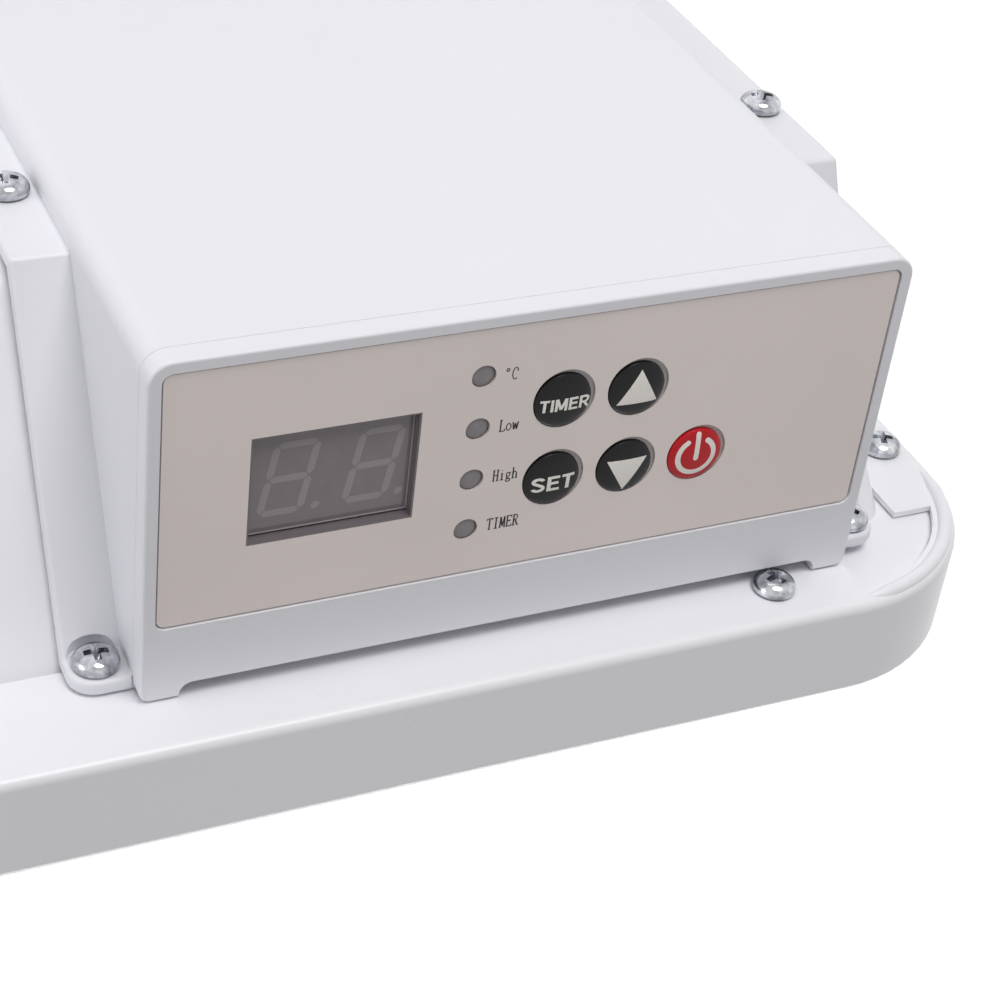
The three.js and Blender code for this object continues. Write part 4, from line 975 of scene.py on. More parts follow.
def keyhole(side, sizes):
    x = side * sizes.keyhole_spacing / 2
    neck, head = sizes.keyhole_neck, sizes.keyhole_head
    base, top = sizes.keyhole_above, sizes.keyhole_above + sizes.keyhole_rise
    half_angle = math.asin(neck / head)
    outline = []
    head_steps, neck_steps = 24, 12
    for step in range(head_steps + 1):
        turn = math.pi / 2 + half_angle + (math.tau - 2 * half_angle) * step / head_steps
        outline.append((x + head * math.cos(turn), base + head * math.sin(turn)))
    for step in range(neck_steps + 1):
        turn = math.pi * step / neck_steps
        outline.append((x + neck * math.cos(turn), top + neck * math.sin(turn)))
    return prism("keyhole", outline, "Y", *THROUGH_FLAT)


GLAND_HEIGHT = 26 * MM  # above the flanges
GLAND_HOLE = 6.5 * MM  # radius
GLAND_REACH = 6 * MM
GROMMET_HOLE = 8 * MM  # radius


def gland_frame():
    """Matrix that stands a thing made along Z square on the bottom slope, at the gland."""
    cover = bpy.context.scene.heater_cover
    tilt = math.atan2(cover.top_run, HUMP_HEIGHT)
    skin = cover_foot(cover)[1] - cover.top_run * GLAND_HEIGHT / HUMP_HEIGHT
    place = Vector((middle("cable_gland").x, FLANGE_Y + GLAND_HEIGHT, -skin))
    return Matrix.Translation(place) @ Matrix.Rotation(math.pi + tilt, 4, "X")


class HEATER_OT_cover(bpy.types.Operator):
    """Make the back cover with its slots, keyholes and wire openings"""

    bl_idname = "heater.cover"
    bl_label = "Back Cover"

    def execute(self, context):
        sizes = context.scene.heater_cover
        pan = context.scene.heater_pan
        edge = sizes.edge_gap
        margin_y = FLANGE_Y - pan.sheet - SEAT_GAP
        start = margin_y - sizes.sheet - FLANGE_Y
        outline = centred(HALF_WIDTH - edge, HALF_HEIGHT - edge, pan.corner_radius - edge, 16)
        cover = prism("cover_sheet", outline, "Y", margin_y - sizes.sheet, margin_y)
        join(cover, hump("raised", 0, start + sizes.sheet / 2, sizes))
        grommet = middle("wire_grommet")
        hole = prism("hole", circle(grommet.x, grommet.z, GROMMET_HOLE), "Y", *THROUGH_FLAT)
        gland = prism("hole", circle(0, 0, GLAND_HOLE), "Z", -GLAND_REACH, GLAND_REACH)
        cut(
            cover,
            hump("hollow", sizes.sheet, start - MM, sizes),
            inlet_slots(sizes),
            keyhole(-1, sizes),
            keyhole(1, sizes),
            hole,
            move(gland, gland_frame()),
            *drills(COVER_SCREWS + HOUSING_SCREWS, 12 * MM))
        finish_piece(smooth(cover), "root", "white_steel", ["back_cover"])
        return {"FINISHED"}


# ------------------------ control housing


def slope_z(height, gap):
    """Z of the cover's top slope at a height above the flanges, a gap off its skin."""
    cover = bpy.context.scene.heater_cover
    stretch = math.hypot(cover.top_run, HUMP_HEIGHT) / HUMP_HEIGHT
    return cover_foot(cover)[1] - cover.top_run * height / HUMP_HEIGHT + gap * stretch


def cover_line(gap, front_z, end_z):
    """Section along flange, slope and flat, a gap off the cover's skin."""
    return [
        (FLANGE_Y + gap, front_z),
        (FLANGE_Y + gap, slope_z(gap, gap)),
        (gap, slope_z(HUMP_HEIGHT + gap, gap)),
        (gap, end_z),
    ]


def housing_block(sizes):
    left, right, proud = BEZEL_LOW.x, BEZEL_HIGH.x, BEZEL_HIGH.y
    seam = FACE_Z - sizes.bezel_depth
    side = prism(
        "control_box",
        cover_line(SEAT_GAP, seam, BOX_END_Z) + [(proud, BOX_END_Z), (proud, seam)],
        "X", left, right)
    section = prism(
        "section",
        rounded(left, FLANGE_Y - BEYOND, right, proud, sizes.edge_radius, MM),
        "Z", BOX_END_Z - MM, seam)
    plan = prism(
        "plan",
        rounded(left, BOX_END_Z, right, FACE_Z + 2 * BEYOND, MM, sizes.edge_radius),
        "Y", FLANGE_Y - BEYOND, proud + MM)
    return common(side, section, plan)


def housing_ears(sizes):
    left, right = HOUSING_LOW.x, HOUSING_HIGH.x
    front = FACE_Z - sizes.ear_setback
    top = SEAT_GAP + sizes.ear_thickness
    strip = prism(
        "ears", cover_line(SEAT_GAP, front, BOX_END_Z) + cover_line(top, front, BOX_END_Z)[::-1],
        "X", left, right)
    plan = prism(
        "plan", rounded(left, BOX_END_Z, right, front, sizes.ear_radius),
        "Y", FLANGE_Y - BEYOND, 2 * BEYOND)
    common(strip, plan)
    soften(strip, sizes.ear_edge, 35)
    below, above = FLANGE_Y - 2 * BEYOND, 3 * BEYOND
    between = block(
        "between", (BEZEL_LOW.x + sizes.wall / 2, below, BOX_END_Z - MM),
        (BEZEL_HIGH.x - sizes.wall / 2, above, FACE_Z))
    beside = block(
        "beside", (BEZEL_LOW.x - SEAT_GAP, below, FACE_Z - sizes.bezel_depth),
        (BEZEL_HIGH.x + SEAT_GAP, above, FACE_Z))
    return cut(strip, between, beside)


def screw_seat(node):
    """Where a screw's head rests, with the gap under it."""
    centre, top = middle(node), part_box(node)[1].y
    return Vector((centre.x, top - HEAD_HEIGHT - SEAT_GAP, centre.z))


POCKET_WALL = 0.4  # straight part of a pocket's height


def screw_pocket(node, sizes):
    radius, height = sizes.pocket_radius, sizes.pocket_height
    profile = [(0, 0), (radius, 0)] + [
        (radius * across, height * (POCKET_WALL + (1 - POCKET_WALL) * up))
        for across, up in quarter(6)]
    profile[-1] = (0, height)
    pocket = lathe("pocket", profile)
    place = screw_seat(node)
    return move(pocket, Matrix.Translation(place) @ Matrix.Rotation(-math.pi / 2, 4, "X"))


RIB_PITCH = 24 * MM
RIB_WIDTH = 1.5 * MM
RIB_DEPTH = 2 * MM


def housing_ribs(sizes):
    roof = BEZEL_HIGH.y - sizes.wall
    ribs = []
    z = BOX_END_Z + RIB_PITCH
    while z < slope_z(HUMP_HEIGHT, 0) - RIB_PITCH / 2:
        ribs.append(block(
            "rib", (BEZEL_LOW.x + MM, roof - RIB_DEPTH, z),
            (BEZEL_HIGH.x - MM, roof + MM, z + RIB_WIDTH)))
        z += RIB_PITCH
    return ribs


class HEATER_OT_housing(bpy.types.Operator):
    """Make the control housing with its mounting ears"""

    bl_idname = "heater.housing"
    bl_label = "Control Housing"

    def execute(self, context):
        sizes = context.scene.heater_box
        wall = sizes.wall
        hollow = block(
            "hollow", (BEZEL_LOW.x + wall, FLANGE_Y - BEYOND, BOX_END_Z + wall),
            (BEZEL_HIGH.x - wall, BEZEL_HIGH.y - wall, FACE_Z))
        housing = cut(housing_block(sizes), hollow)
        join(housing, housing_ears(sizes), *housing_ribs(sizes))
        cut(
            housing,
            *[screw_pocket(node, sizes) for node in HOUSING_SCREWS],
            *drills(HOUSING_SCREWS, 9 * MM))
        finish_piece(smooth(housing), "root", "white_abs", ["control_housing"])
        return {"FINISHED"}


# ------------------------ bezel and label


def label_outline(gap, panel):
    return rounded(
        BEZEL_LOW.x + panel.margin_side + gap, LABEL_LOW.y - SEAT_GAP + gap,
        BEZEL_HIGH.x - panel.margin_side - gap, LABEL_HIGH.y + SEAT_GAP - gap, panel.radius - gap)


def window_opening(gap, z0, z1, panel):
    return block(
        "window", (WINDOW_LOW.x - gap, WINDOW_LOW.y - gap - panel.window_drop, z0),
        (WINDOW_HIGH.x + gap, WINDOW_HIGH.y + gap, z1))


def face_holes(z0, z1, panel):
    """Window, lamp and button holes shared by the label and the bezel."""
    holes = [window_opening(SEAT_GAP, z0, z1, panel)]
    for name in LAMPS:
        centre = middle(name)
        outline = circle(centre.x, centre.y, panel.lamp_radius + panel.lamp_gap, 40)
        holes.append(prism("lamp hole", outline, "Z", z0, z1))
    for name in BUTTONS:
        centre = middle(name)
        shift = panel.hole_shift
        outline = circle(centre.x + shift, centre.y + shift, panel.hole_radius, 56)
        holes.append(prism("button hole", outline, "Z", z0, z1))
    return holes


def bezel_rim(sizes):
    left, right, proud = BEZEL_LOW.x, BEZEL_HIGH.x, BEZEL_HIGH.y
    floor = FLANGE_Y + SEAT_GAP
    seam = FACE_Z - sizes.bezel_depth + sizes.seam
    edge = sizes.bezel_edge
    rings = [[(a, b, seam) for a, b in rounded(
        left, floor, right, proud, sizes.edge_radius, sizes.lower_radius)]]
    for across, up in quarter(6):
        off = edge * (1 - across)
        z = FACE_Z - edge * (1 - up)
        outline = rounded(
            left + off, floor + off, right - off, proud - off,
            sizes.edge_radius - off, max(sizes.lower_radius - off, 0.2 * MM))
        rings.append([(a, b, z) for a, b in outline])
    return loft("bezel", rings)


SPIGOT_WALL = 1.5 * MM
SPIGOT_REACH = 4.5 * MM
SPIGOT_ROOT = 0.5 * MM
POST_RADIUS = 2.4 * MM
POST_INSET = 4.7 * MM


def spigot(sizes, back):
    """Thin collar that reaches into the housing."""
    gap = sizes.wall + SEAT_GAP
    seam = FACE_Z - sizes.bezel_depth

    def ring(inset, z0, z1):
        outline = rounded(
            BEZEL_LOW.x + inset, FLANGE_Y + SEAT_GAP + sizes.notch + inset,
            BEZEL_HIGH.x - inset, BEZEL_HIGH.y - inset, SPIGOT_WALL, steps=4)
        return prism("ring", outline, "Z", z0, z1)

    return cut(
        ring(gap, seam - SPIGOT_REACH, back + SPIGOT_ROOT),
        ring(gap + SPIGOT_WALL, seam - SPIGOT_REACH - MM, back))


class HEATER_OT_bezel(bpy.types.Operator):
    """Make the front bezel with its label recess and feet"""

    bl_idname = "heater.bezel"
    bl_label = "Front Bezel"

    def execute(self, context):
        sizes, panel = context.scene.heater_box, context.scene.heater_panel
        recess_z = LABEL_LOW.z - SEAT_GAP
        back = recess_z - FACE_WALL
        seam = FACE_Z - sizes.bezel_depth
        floor = FLANGE_Y + SEAT_GAP
        wall = sizes.wall
        behind = block(
            "behind", (BEZEL_LOW.x + wall, floor + sizes.notch + wall, seam - MM),
            (BEZEL_HIGH.x - wall, BEZEL_HIGH.y - wall, back))
        notch = prism(
            "notch",
            rounded(BEZEL_LOW.x + sizes.foot, floor - BEYOND, BEZEL_HIGH.x - sizes.foot,
                    floor + sizes.notch, 2 * MM, MM),
            "Z", seam - MM, FACE_Z + MM)
        recess = prism("recess", label_outline(0, panel), "Z", recess_z, FACE_Z + MM)
        bezel = cut(bezel_rim(sizes), behind, notch, recess)
        board_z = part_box("control_board")[1].z
        posts = [
            prism("post", circle(x, y, POST_RADIUS, 20),
                  "Z", board_z + SEAT_GAP, back + SPIGOT_ROOT)
            for x in (LABEL_LOW.x + POST_INSET, LABEL_HIGH.x - POST_INSET)
            for y in (LABEL_LOW.y + POST_INSET, LABEL_HIGH.y - POST_INSET)]
        join(bezel, spigot(sizes, back), *posts)
        cut(bezel, *face_holes(board_z + 3 * MM, FACE_Z + MM, panel))
        finish_piece(smooth(bezel), "root", "white_abs", ["front_bezel"])
        return {"FINISHED"}


class HEATER_OT_label(bpy.types.Operator):
    """Make the metallised label with its holes"""

    bl_idname = "heater.label"
    bl_label = "Label"

    def execute(self, context):
        panel = context.scene.heater_panel
        film = prism("label_film", label_outline(SEAT_GAP, panel), "Z", LABEL_LOW.z, LABEL_HIGH.z)
        cut(film, *face_holes(LABEL_LOW.z - MM, LABEL_HIGH.z + MM, panel))
        finish_piece(smooth(film), "root", "silver_film", ["fascia_label"])
        return {"FINISHED"}


# ------------------------ marks on the label and the caps


def label_point(x, y):
    """Point on the label from its lower left corner, in millimetres."""
    return LABEL_LOW.x - SEAT_GAP + x * MM, LABEL_LOW.y - SEAT_GAP + y * MM


def stroke(points, width):
    """Closed outline of a thin line through the points."""
    left, right = [], []
    last = len(points) - 1
    for index, (x, y) in enumerate(points):
        before = points[max(index - 1, 0)]
        after = points[min(index + 1, last)]
        along = Vector((after[0] - before[0], after[1] - before[1])).normalized()
        side = Vector((-along.y, along.x)) * width / 2
        left.append((x + side.x, y + side.y))
        right.append((x - side.x, y - side.y))
    return left + right[::-1]


def arc(a, b, radius_a, radius_b, start, end, steps=10):
    turns = [math.radians(start + (end - start) * step / steps) for step in range(steps + 1)]
    return [(a + radius_a * math.cos(turn), b + radius_b * math.sin(turn)) for turn in turns]


# Slender letters with short feet, on a cell one wide and two high. A path is an arc, or the
# points of a line in hundredths.
LETTERS = {
    "T": ["50 0 50 200", "8 200 92 200", "30 0 70 0", "8 200 8 170", "92 200 92 170"],
    "I": ["50 0 50 200", "22 200 78 200", "22 0 78 0"],
    "M": ["16 0 20 200", "20 200 50 25", "50 25 80 200", "80 200 84 0", "2 0 30 0",
          "70 0 98 0"],
    "E": ["22 0 22 200", "8 200 85 200", "8 0 88 0", "22 105 62 105", "85 200 85 165",
          "88 0 88 35", "62 85 62 125"],
    "R": ["22 0 22 200", "8 200 45 200", "6 0 40 0", arc(0.45, 1.53, 0.32, 0.47, 90, -90),
          "22 106 45 106", "45 106 82 0", "75 0 98 0"],
    "L": ["26 0 26 200", "8 200 46 200", "8 0 90 0", "90 0 90 40"],
    "H": ["20 0 20 200", "80 0 80 200", "20 102 80 102", "4 200 36 200", "64 200 96 200",
          "4 0 36 0", "64 0 96 0"],
    "o": [arc(0.5, 0.62, 0.34, 0.6, 0, 360, 20)],
    "w": ["10 125 30 0", "30 0 50 110", "50 110 70 0", "70 0 90 125", "0 125 22 125",
          "78 125 100 125"],
    "i": ["50 0 50 125", "30 125 50 125", "25 0 75 0", "44 175 56 175"],
    "g": [arc(0.44, 0.84, 0.26, 0.38, 0, 360, 20), "66 110 90 125",
          arc(0.48, -0.2, 0.34, 0.26, 0, 360, 20), "30 50 22 25", "22 25 70 5"],
    "h": ["22 0 22 200", "6 200 22 200", arc(0.49, 0.75, 0.27, 0.47, 180, 0), "76 80 76 0",
          "6 0 38 0", "60 0 94 0"],
    "°": [arc(0.3, 1.75, 0.2, 0.24, 0, 360, 16)],
    "C": [arc(0.45, 1.0, 0.42, 0.98, 50, 310, 18), "72 175 78 135"],
}


def path_points(path):
    """The points of a letter's path."""
    if isinstance(path, str):
        numbers = [int(number) / 100 for number in path.split()]
        return list(zip(numbers[::2], numbers[1::2]))
    return path


def thin_prisms(outlines, z0, z1):
    return [prism("mark", outline, "Z", z0, z1) for outline in outlines]


STEM_STROKE = 0.23 * MM
THIN_STROKE = 0.17 * MM
INK_SINK = 0.02 * MM
INK_RISE = 0.015 * MM


def legend(text, x, y, pitch, height):
    """Outlines of a word on the label; x and y in millimetres from its corner."""
    outlines = []
    for index, letter in enumerate(text):
        for path in map(path_points, LETTERS[letter]):
            steep = len(path) == 2 and abs(path[1][1] - path[0][1]) > 0.5
            points = [label_point(x + (index + a) * pitch, y + b * height / 2) for a, b in path]
            outlines.append(stroke(points, STEM_STROKE if steep else THIN_STROKE))
    return outlines


# Word, its lower left corner on the label, its letters' pitch and its height, in millimetres.
LEGENDS = [
    ("°C", 49.25, 33.2, 1.05, 1.95),
    ("Low", 49.25, 24.6, 1.02, 1.9),
    ("High", 49.25, 16.0, 1.0, 1.85),
    ("TIMER", 49.25, 7.35, 1.03, 1.9),
]


class HEATER_OT_legends(bpy.types.Operator):
    """Print the words beside the indicator lamps"""

    bl_idname = "heater.legends"
    bl_label = "Lamp Legends"

    def execute(self, context):
        face = LABEL_HIGH.z
        for index, (text, x, y, pitch, height) in enumerate(LEGENDS):
            outlines = legend(text, x, y, pitch, height)
            marks = thin_prisms(outlines, face - INK_SINK, face + INK_RISE)
            finish_piece(gather(f"legend_{index + 1}", marks), "root", "ink")
        return {"FINISHED"}


def cap_drop(x, y, panel):
    """How far the cap's crown falls at a point from its middle."""
    reach = min(math.hypot(x, y) / panel.cap_radius, 1)
    return panel.cap_dome * (1 - math.sqrt(1 - reach ** 2))


DRAPE_EDGE = 0.6 * MM  # longest edge that isn't divided again
DRAPE_ROUNDS = 3


def drape(body, centre, crown, panel):
    """Lays a flat mark, drawn about the origin, on a cap's domed crown."""
    shape = bmesh.new()
    shape.from_mesh(body.data)
    bmesh.ops.triangulate(shape, faces=shape.faces)
    for _ in range(DRAPE_ROUNDS):
        long_edges = [edge for edge in shape.edges if edge.calc_length() > DRAPE_EDGE]
        if long_edges:
            bmesh.ops.subdivide_edges(shape, edges=long_edges, cuts=1)
            bmesh.ops.triangulate(shape, faces=shape.faces)
    for vertex in shape.verts:
        height = crown + vertex.co.z - cap_drop(vertex.co.x, vertex.co.y, panel)
        vertex.co = Vector((centre.x + vertex.co.x, centre.y + vertex.co.y, height))
    shape.to_mesh(body.data)
    shape.free()
    return body


# Broad letters, each with its width; they stand one and a half high.
BROAD = {
    "T": (0.86, [[(0, 1.37), (0.86, 1.37)], [(0.43, 1.37), (0.43, 0)]]),
    "I": (0.26, [[(0.13, 0), (0.13, 1.5)]]),
    "M": (1.16, [[(0.13, 0), (0.13, 1.5)], [(1.03, 0), (1.03, 1.5)], [(0.16, 1.5), (0.58, 0.2)],
                 [(1.0, 1.5), (0.58, 0.2)]]),
    "E": (0.86, [[(0.13, 0), (0.13, 1.5)], [(0.13, 1.37), (0.84, 1.37)],
                 [(0.13, 0.79), (0.78, 0.79)], [(0.13, 0.13), (0.86, 0.13)]]),
    "R": (0.98, [[(0.13, 0), (0.13, 1.5)],
                 [(0.13, 1.37), (0.5, 1.37), *arc(0.55, 1.04, 0.3, 0.33, 80, -80, 8), (0.5, 0.7),
                  (0.13, 0.7)],
                 [(0.45, 0.74), (0.9, 0)]]),
    "S": (0.92, [arc(0.46, 1.1, 0.33, 0.27, 15, 250, 12)
                 + arc(0.46, 0.42, 0.34, 0.29, 70, -165, 12)]),
}
BROAD_HEIGHT = 1.5
BROAD_STROKE = 0.26
BROAD_SPACE = 0.14


def broad_word(text, width, height):
    """A bold word of a given size, centred on the origin."""
    paths, x = [], 0
    for letter in text:
        letter_width, strokes = BROAD[letter]
        paths += [[(x + a, b) for a, b in points] for points in strokes]
        x += letter_width + BROAD_SPACE
    x -= BROAD_SPACE
    outlines = [stroke(points, BROAD_STROKE) for points in paths]
    scale_x, scale_y = width / x, height / BROAD_HEIGHT
    return flat_mark([
        [((a - x / 2) * scale_x, (b - BROAD_HEIGHT / 2) * scale_y) for a, b in outline]
        for outline in outlines])


PRINT = 0.02 * MM


def flat_mark(outlines):
    """One flat mark made of overlapping outlines, a print's thickness each way."""
    first, *others = thin_prisms(outlines, -PRINT, PRINT)
    return join(first, *others) if others else first


RING_RADIUS = 2.95
RING_GAP = 33  # degrees each side of the top
RING_STROKE = 0.82 * MM
BAR = [(0, 3.7), (0, -0.4)]
BAR_STROKE = 0.8 * MM


def power_mark():
    """Open ring with a bar at its top."""
    ring = arc(0, 0, RING_RADIUS, RING_RADIUS, 90 + RING_GAP, 450 - RING_GAP, 40)
    strokes = [
        stroke([(x * MM, y * MM) for x, y in line], width)
        for line, width in ((ring, RING_STROKE), (BAR, BAR_STROKE))]
    ends = [
        circle(x * MM, y * MM, RING_STROKE / 2, 20) for x, y in (ring[0], ring[-1], *BAR)]
    return flat_mark(strokes + ends)


# Text, width, height and shift of the words, in millimetres.
CAP_WORDS = {
    "button_timer": ("TIMER", 7.75, 2.05, 0.2, -0.4),
    "button_set": ("SET", 6.8, 2.55, 0.1, -0.5),
}
CAP_TRIANGLES = {
    "button_up": [(-3.1, -2.25), (3.4, -2.25), (0.2, 3.4)],
    "button_down": [(-3.1, 1.5), (3.4, 1.5), (0.2, -4.05)],
}


def cap_mark(name):
    if name in CAP_WORDS:
        text, width, height, x, y = CAP_WORDS[name]
        return shift(broad_word(text, width * MM, height * MM), x * MM, y * MM)
    if name in CAP_TRIANGLES:
        return flat_mark([[(x * MM, y * MM) for x, y in CAP_TRIANGLES[name]]])
    return power_mark()


STEM_RADIUS = 1.5 * MM
CAP_FLANGE = 5.4 * MM
SEAL_REACH = 0.45 * MM  # past the hole's edge, under the label
SEAL_GAP = 0.06 * MM
THIN_GAP = 0.02 * MM


def button_cap(name, centre, low, high, panel):
    """Domed cap with its flange and stem, finer than the solid."""
    flange_top = LABEL_LOW.z - SEAT_GAP - FACE_WALL - SEAT_GAP
    flange_foot = flange_top - MM
    profile = [
        (0, low.z), (STEM_RADIUS, low.z), (STEM_RADIUS, flange_foot),
        (CAP_FLANGE, flange_foot), (CAP_FLANGE, flange_top), (panel.cap_radius, flange_top)]
    profile += [
        (panel.cap_radius * across, high.z - panel.cap_dome * (1 - up))
        for across, up in quarter(12)]
    profile[-1] = (0, high.z)
    cap = lathe(f"cap_{name}", profile, 64)
    return shift(cap, centre.x, centre.y)


def button_seals(panel):
    """Pale membrane rings under the label, one round each cap."""
    z0, z1 = LABEL_LOW.z - SEAT_GAP + THIN_GAP, LABEL_LOW.z - THIN_GAP
    ring = cut(
        prism("ring", circle(0, 0, panel.hole_radius + SEAL_REACH, 56), "Z", z0, z1),
        prism("bore", circle(0, 0, panel.cap_radius + SEAL_GAP, 56), "Z", z0 - MM, z1 + MM))
    seats = [(middle(name).x, middle(name).y, 0) for name in BUTTONS]
    return run_tree(
        "button_seals", seated_tree(), ring, {"Most turn": 0.0, "Seed": 1}, seats)


class HEATER_OT_buttons(bpy.types.Operator):
    """Make the five caps and print their marks"""

    bl_idname = "heater.buttons"
    bl_label = "Buttons"

    def execute(self, context):
        panel = context.scene.heater_panel
        for name in BUTTONS:
            low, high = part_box(name)
            centre = middle(name)
            short = name.split("_")[1]
            slot = "red_cap" if short == "power" else "black_cap"
            cap = smooth(button_cap(short, centre, low, high, panel), 40)
            finish_piece(cap, name, slot, [name])
            mark = drape(cap_mark(name), centre, high.z, panel)
            mark.name = f"mark_{short}"
            finish_piece(mark, name, "print_white")
        finish_piece(smooth(button_seals(panel)), "root", "seal")
        return {"FINISHED"}


# ------------------------ display and lamps


def segment(start, end, width):
    """Six-sided bar of a digit, pointed at both ends."""
    a, b = Vector(start), Vector(end)
    along = (b - a).normalized()
    side = Vector((-along.y, along.x)) * width / 2
    tip = along * width / 2
    return [a, a + tip + side, b - tip + side, b, b - tip - side, a + tip - side]


SEGMENT_GAP = 0.12 * MM
POINT_PLACE = 1.7 * MM, 0.74 * MM  # right of the digit, and up
POINT_RADIUS = 0.62 * MM
DIGITS_PLACE = 14.35, 15.3  # from the label's corner, in millimetres
WINDOW_EDGE = 0.15 * MM
# Width of the painted highlight round the display's window.
RIM_HIGHLIGHT_WIDTH = 0.2 * MM
# Depth of the painted shade below the window's face.
SHADE_LINER_DEPTH = 0.6 * MM


def digit_outlines(sizes):
    """The seven segments and the point, leaning, from the digit's lower left corner."""
    width, height, bar = sizes.digit_width, sizes.digit_height, sizes.digit_stroke
    x0, x1 = bar / 2, width - bar / 2
    y0, y1, y2 = bar / 2, height / 2, height - bar / 2
    bars = [((x0 + SEGMENT_GAP, y), (x1 - SEGMENT_GAP, y)) for y in (y0, y1, y2)]
    bars += [
        ((x, low + SEGMENT_GAP), (x, high - SEGMENT_GAP))
        for x in (x0, x1) for low, high in ((y0, y1), (y1, y2))]
    outlines = [segment(start, end, bar) for start, end in bars]
    outlines.append(circle(width + POINT_PLACE[0], POINT_PLACE[1], POINT_RADIUS, 20))
    lean = math.tan(sizes.digit_lean)
    return [[(p[0] + p[1] * lean, p[1]) for p in outline] for outline in outlines]


def frame_ring(name, low, high, width, z0, z1):
    """Rectangular ring inside a box's outline."""
    ring = block(name, (low[0], low[1], z0), (high[0], high[1], z1))
    return cut(ring, block(
        "inner", (low[0] + width, low[1] + width, z0 - MM),
        (high[0] - width, high[1] - width, z1 + MM)))


def window_rim(face):
    """Thin pale frame round the display's window: a painted highlight along the window's edge."""
    return smooth(frame_ring(
        "window_rim", WINDOW_LOW, WINDOW_HIGH, RIM_HIGHLIGHT_WIDTH, face - 0.05 * MM, face + 0.03 * MM))


def window_liner(face, panel):
    """Dark sides of the opening, from the window up to the label: painted shade in the window's
    opening.
    """
    gap = SEAT_GAP - THIN_GAP
    drop = Vector((gap, gap + panel.window_drop, 0))
    low, high = WINDOW_LOW - drop, WINDOW_HIGH + Vector((gap, gap, 0))
    foot, top = face - SHADE_LINER_DEPTH, LABEL_HIGH.z - 0.05 * MM
    liner = frame_ring("window_liner", low, high, gap - 0.04 * MM, foot, top)
    shelf = block(
        "shelf", (low.x, low.y, foot), (high.x, WINDOW_LOW.y - 0.04 * MM, face - 0.3 * MM))
    return smooth(join(liner, shelf))


class HEATER_OT_display(bpy.types.Operator):
    """Make the smoked window and its two unlit digits"""

    bl_idname = "heater.display"
    bl_label = "Display"

    def execute(self, context):
        sizes = context.scene.heater_panel
        window = block("window_lens", WINDOW_LOW, WINDOW_HIGH)
        soften(window, WINDOW_EDGE)
        finish_piece(smooth(window), "root", "smoked_lens", ["display_window"])
        face = WINDOW_HIGH.z
        # Painted highlight round the window.
        finish_piece(window_rim(face), "root", "rim")
        # Painted shade on the sides of the window's opening.
        finish_piece(window_liner(face, sizes), "root", "liner")
        bars = thin_prisms(digit_outlines(sizes), face - 0.01 * MM, face + 0.01 * MM)
        digit = shift(gather("digit", bars), *label_point(*DIGITS_PLACE))
        digits = repeated(
            "digit_segments", digit, 2, 1, (sizes.digit_pitch, 0, 0), (0, 0, 0),
            FINISHES["segment"])
        finish_piece(digits, "root", "segment")
        return {"FINISHED"}


LAMP_FLANGE = 0.8 * MM
LAMP_SHOULDER = 2.5 * MM
LAMP_DOME = 0.25 * MM


class HEATER_OT_lamps(bpy.types.Operator):
    """Make the four indicator lamps"""

    bl_idname = "heater.lamps"
    bl_label = "Indicator Lamps"

    def execute(self, context):
        for name in LAMPS:
            low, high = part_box(name)
            centre = middle(name)
            radius = context.scene.heater_panel.lamp_radius
            shoulder = low.z + LAMP_SHOULDER
            profile = [
                (0, low.z), (radius + LAMP_FLANGE, low.z), (radius + LAMP_FLANGE, shoulder),
                (radius, shoulder)]
            profile += [
                (radius * across, high.z - LAMP_DOME * (1 - up)) for across, up in quarter(8)]
            profile[-1] = (0, high.z)
            lens = shift(lathe(f"lens_{name}", profile, 40), centre.x, centre.y)
            finish_piece(smooth(lens, 40), "root", "lamp_grey", [name])
        return {"FINISHED"}


# ------------------------ screws


HEAD_RADIUS = 3.45 * MM
HEAD_RIM = 0.5 * MM
HEAD_FULLNESS = 0.75
SHANK = [(0, -8 * MM), (0.6 * MM, -7.8 * MM), (1.5 * MM, -6.5 * MM), (1.5 * MM, 0)]
# The cross recess's arms at their top and foot: height above the head, half length, half width.
RECESS = ((0.4 * MM, 2.1 * MM, 0.6 * MM), (-1.5 * MM, 1.1 * MM, 0.36 * MM))


def master_screw():
    """Pan-head screw along Y with a tapered cross recess; its seat is at the origin."""
    profile = SHANK + [
        (HEAD_RADIUS * 0.97, 0), (HEAD_RADIUS, 0.12 * MM), (HEAD_RADIUS, HEAD_RIM)]
    profile += [
        (HEAD_RADIUS * across ** HEAD_FULLNESS, HEAD_RIM + (HEAD_HEIGHT - HEAD_RIM) * up)
        for across, up in quarter(8, 1)]
    profile[-1] = (0, HEAD_HEIGHT)
    body = lathe("screw", profile, 40)
    arms = []
    for long_x in (True, False):
        rings = []
        for above, reach, half in RECESS:
            depth = HEAD_HEIGHT + above
            a, b = (reach, half) if long_x else (half, reach)
            rings.append([(-a, -b, depth), (a, -b, depth), (a, b, depth), (-a, b, depth)])
        arms.append(loft("arm", rings))
    cut(body, *arms)
    return move(body, Matrix.Rotation(-math.pi / 2, 4, "X"))


class HEATER_OT_screws(bpy.types.Operator):
    """Set the screws of the cover and the control housing"""

    bl_idname = "heater.screws"
    bl_label = "Screws"

    def execute(self, context):
        for name, nodes in (("cover_screws", COVER_SCREWS), ("housing_screws", HOUSING_SCREWS)):
            seats = [screw_seat(node) + Vector((0, SEAT_GAP, 0)) for node in nodes]
            screws = run_tree(
                name, seated_tree(), master_screw(),
                {"Most turn": math.tau, "Seed": 7, "Material": FINISHES["zinc"]}, seats)
            finish_piece(smooth(screws, 38), "root", "zinc", nodes)
        return {"FINISHED"}


# ------------------------ finishes for the solids that stay


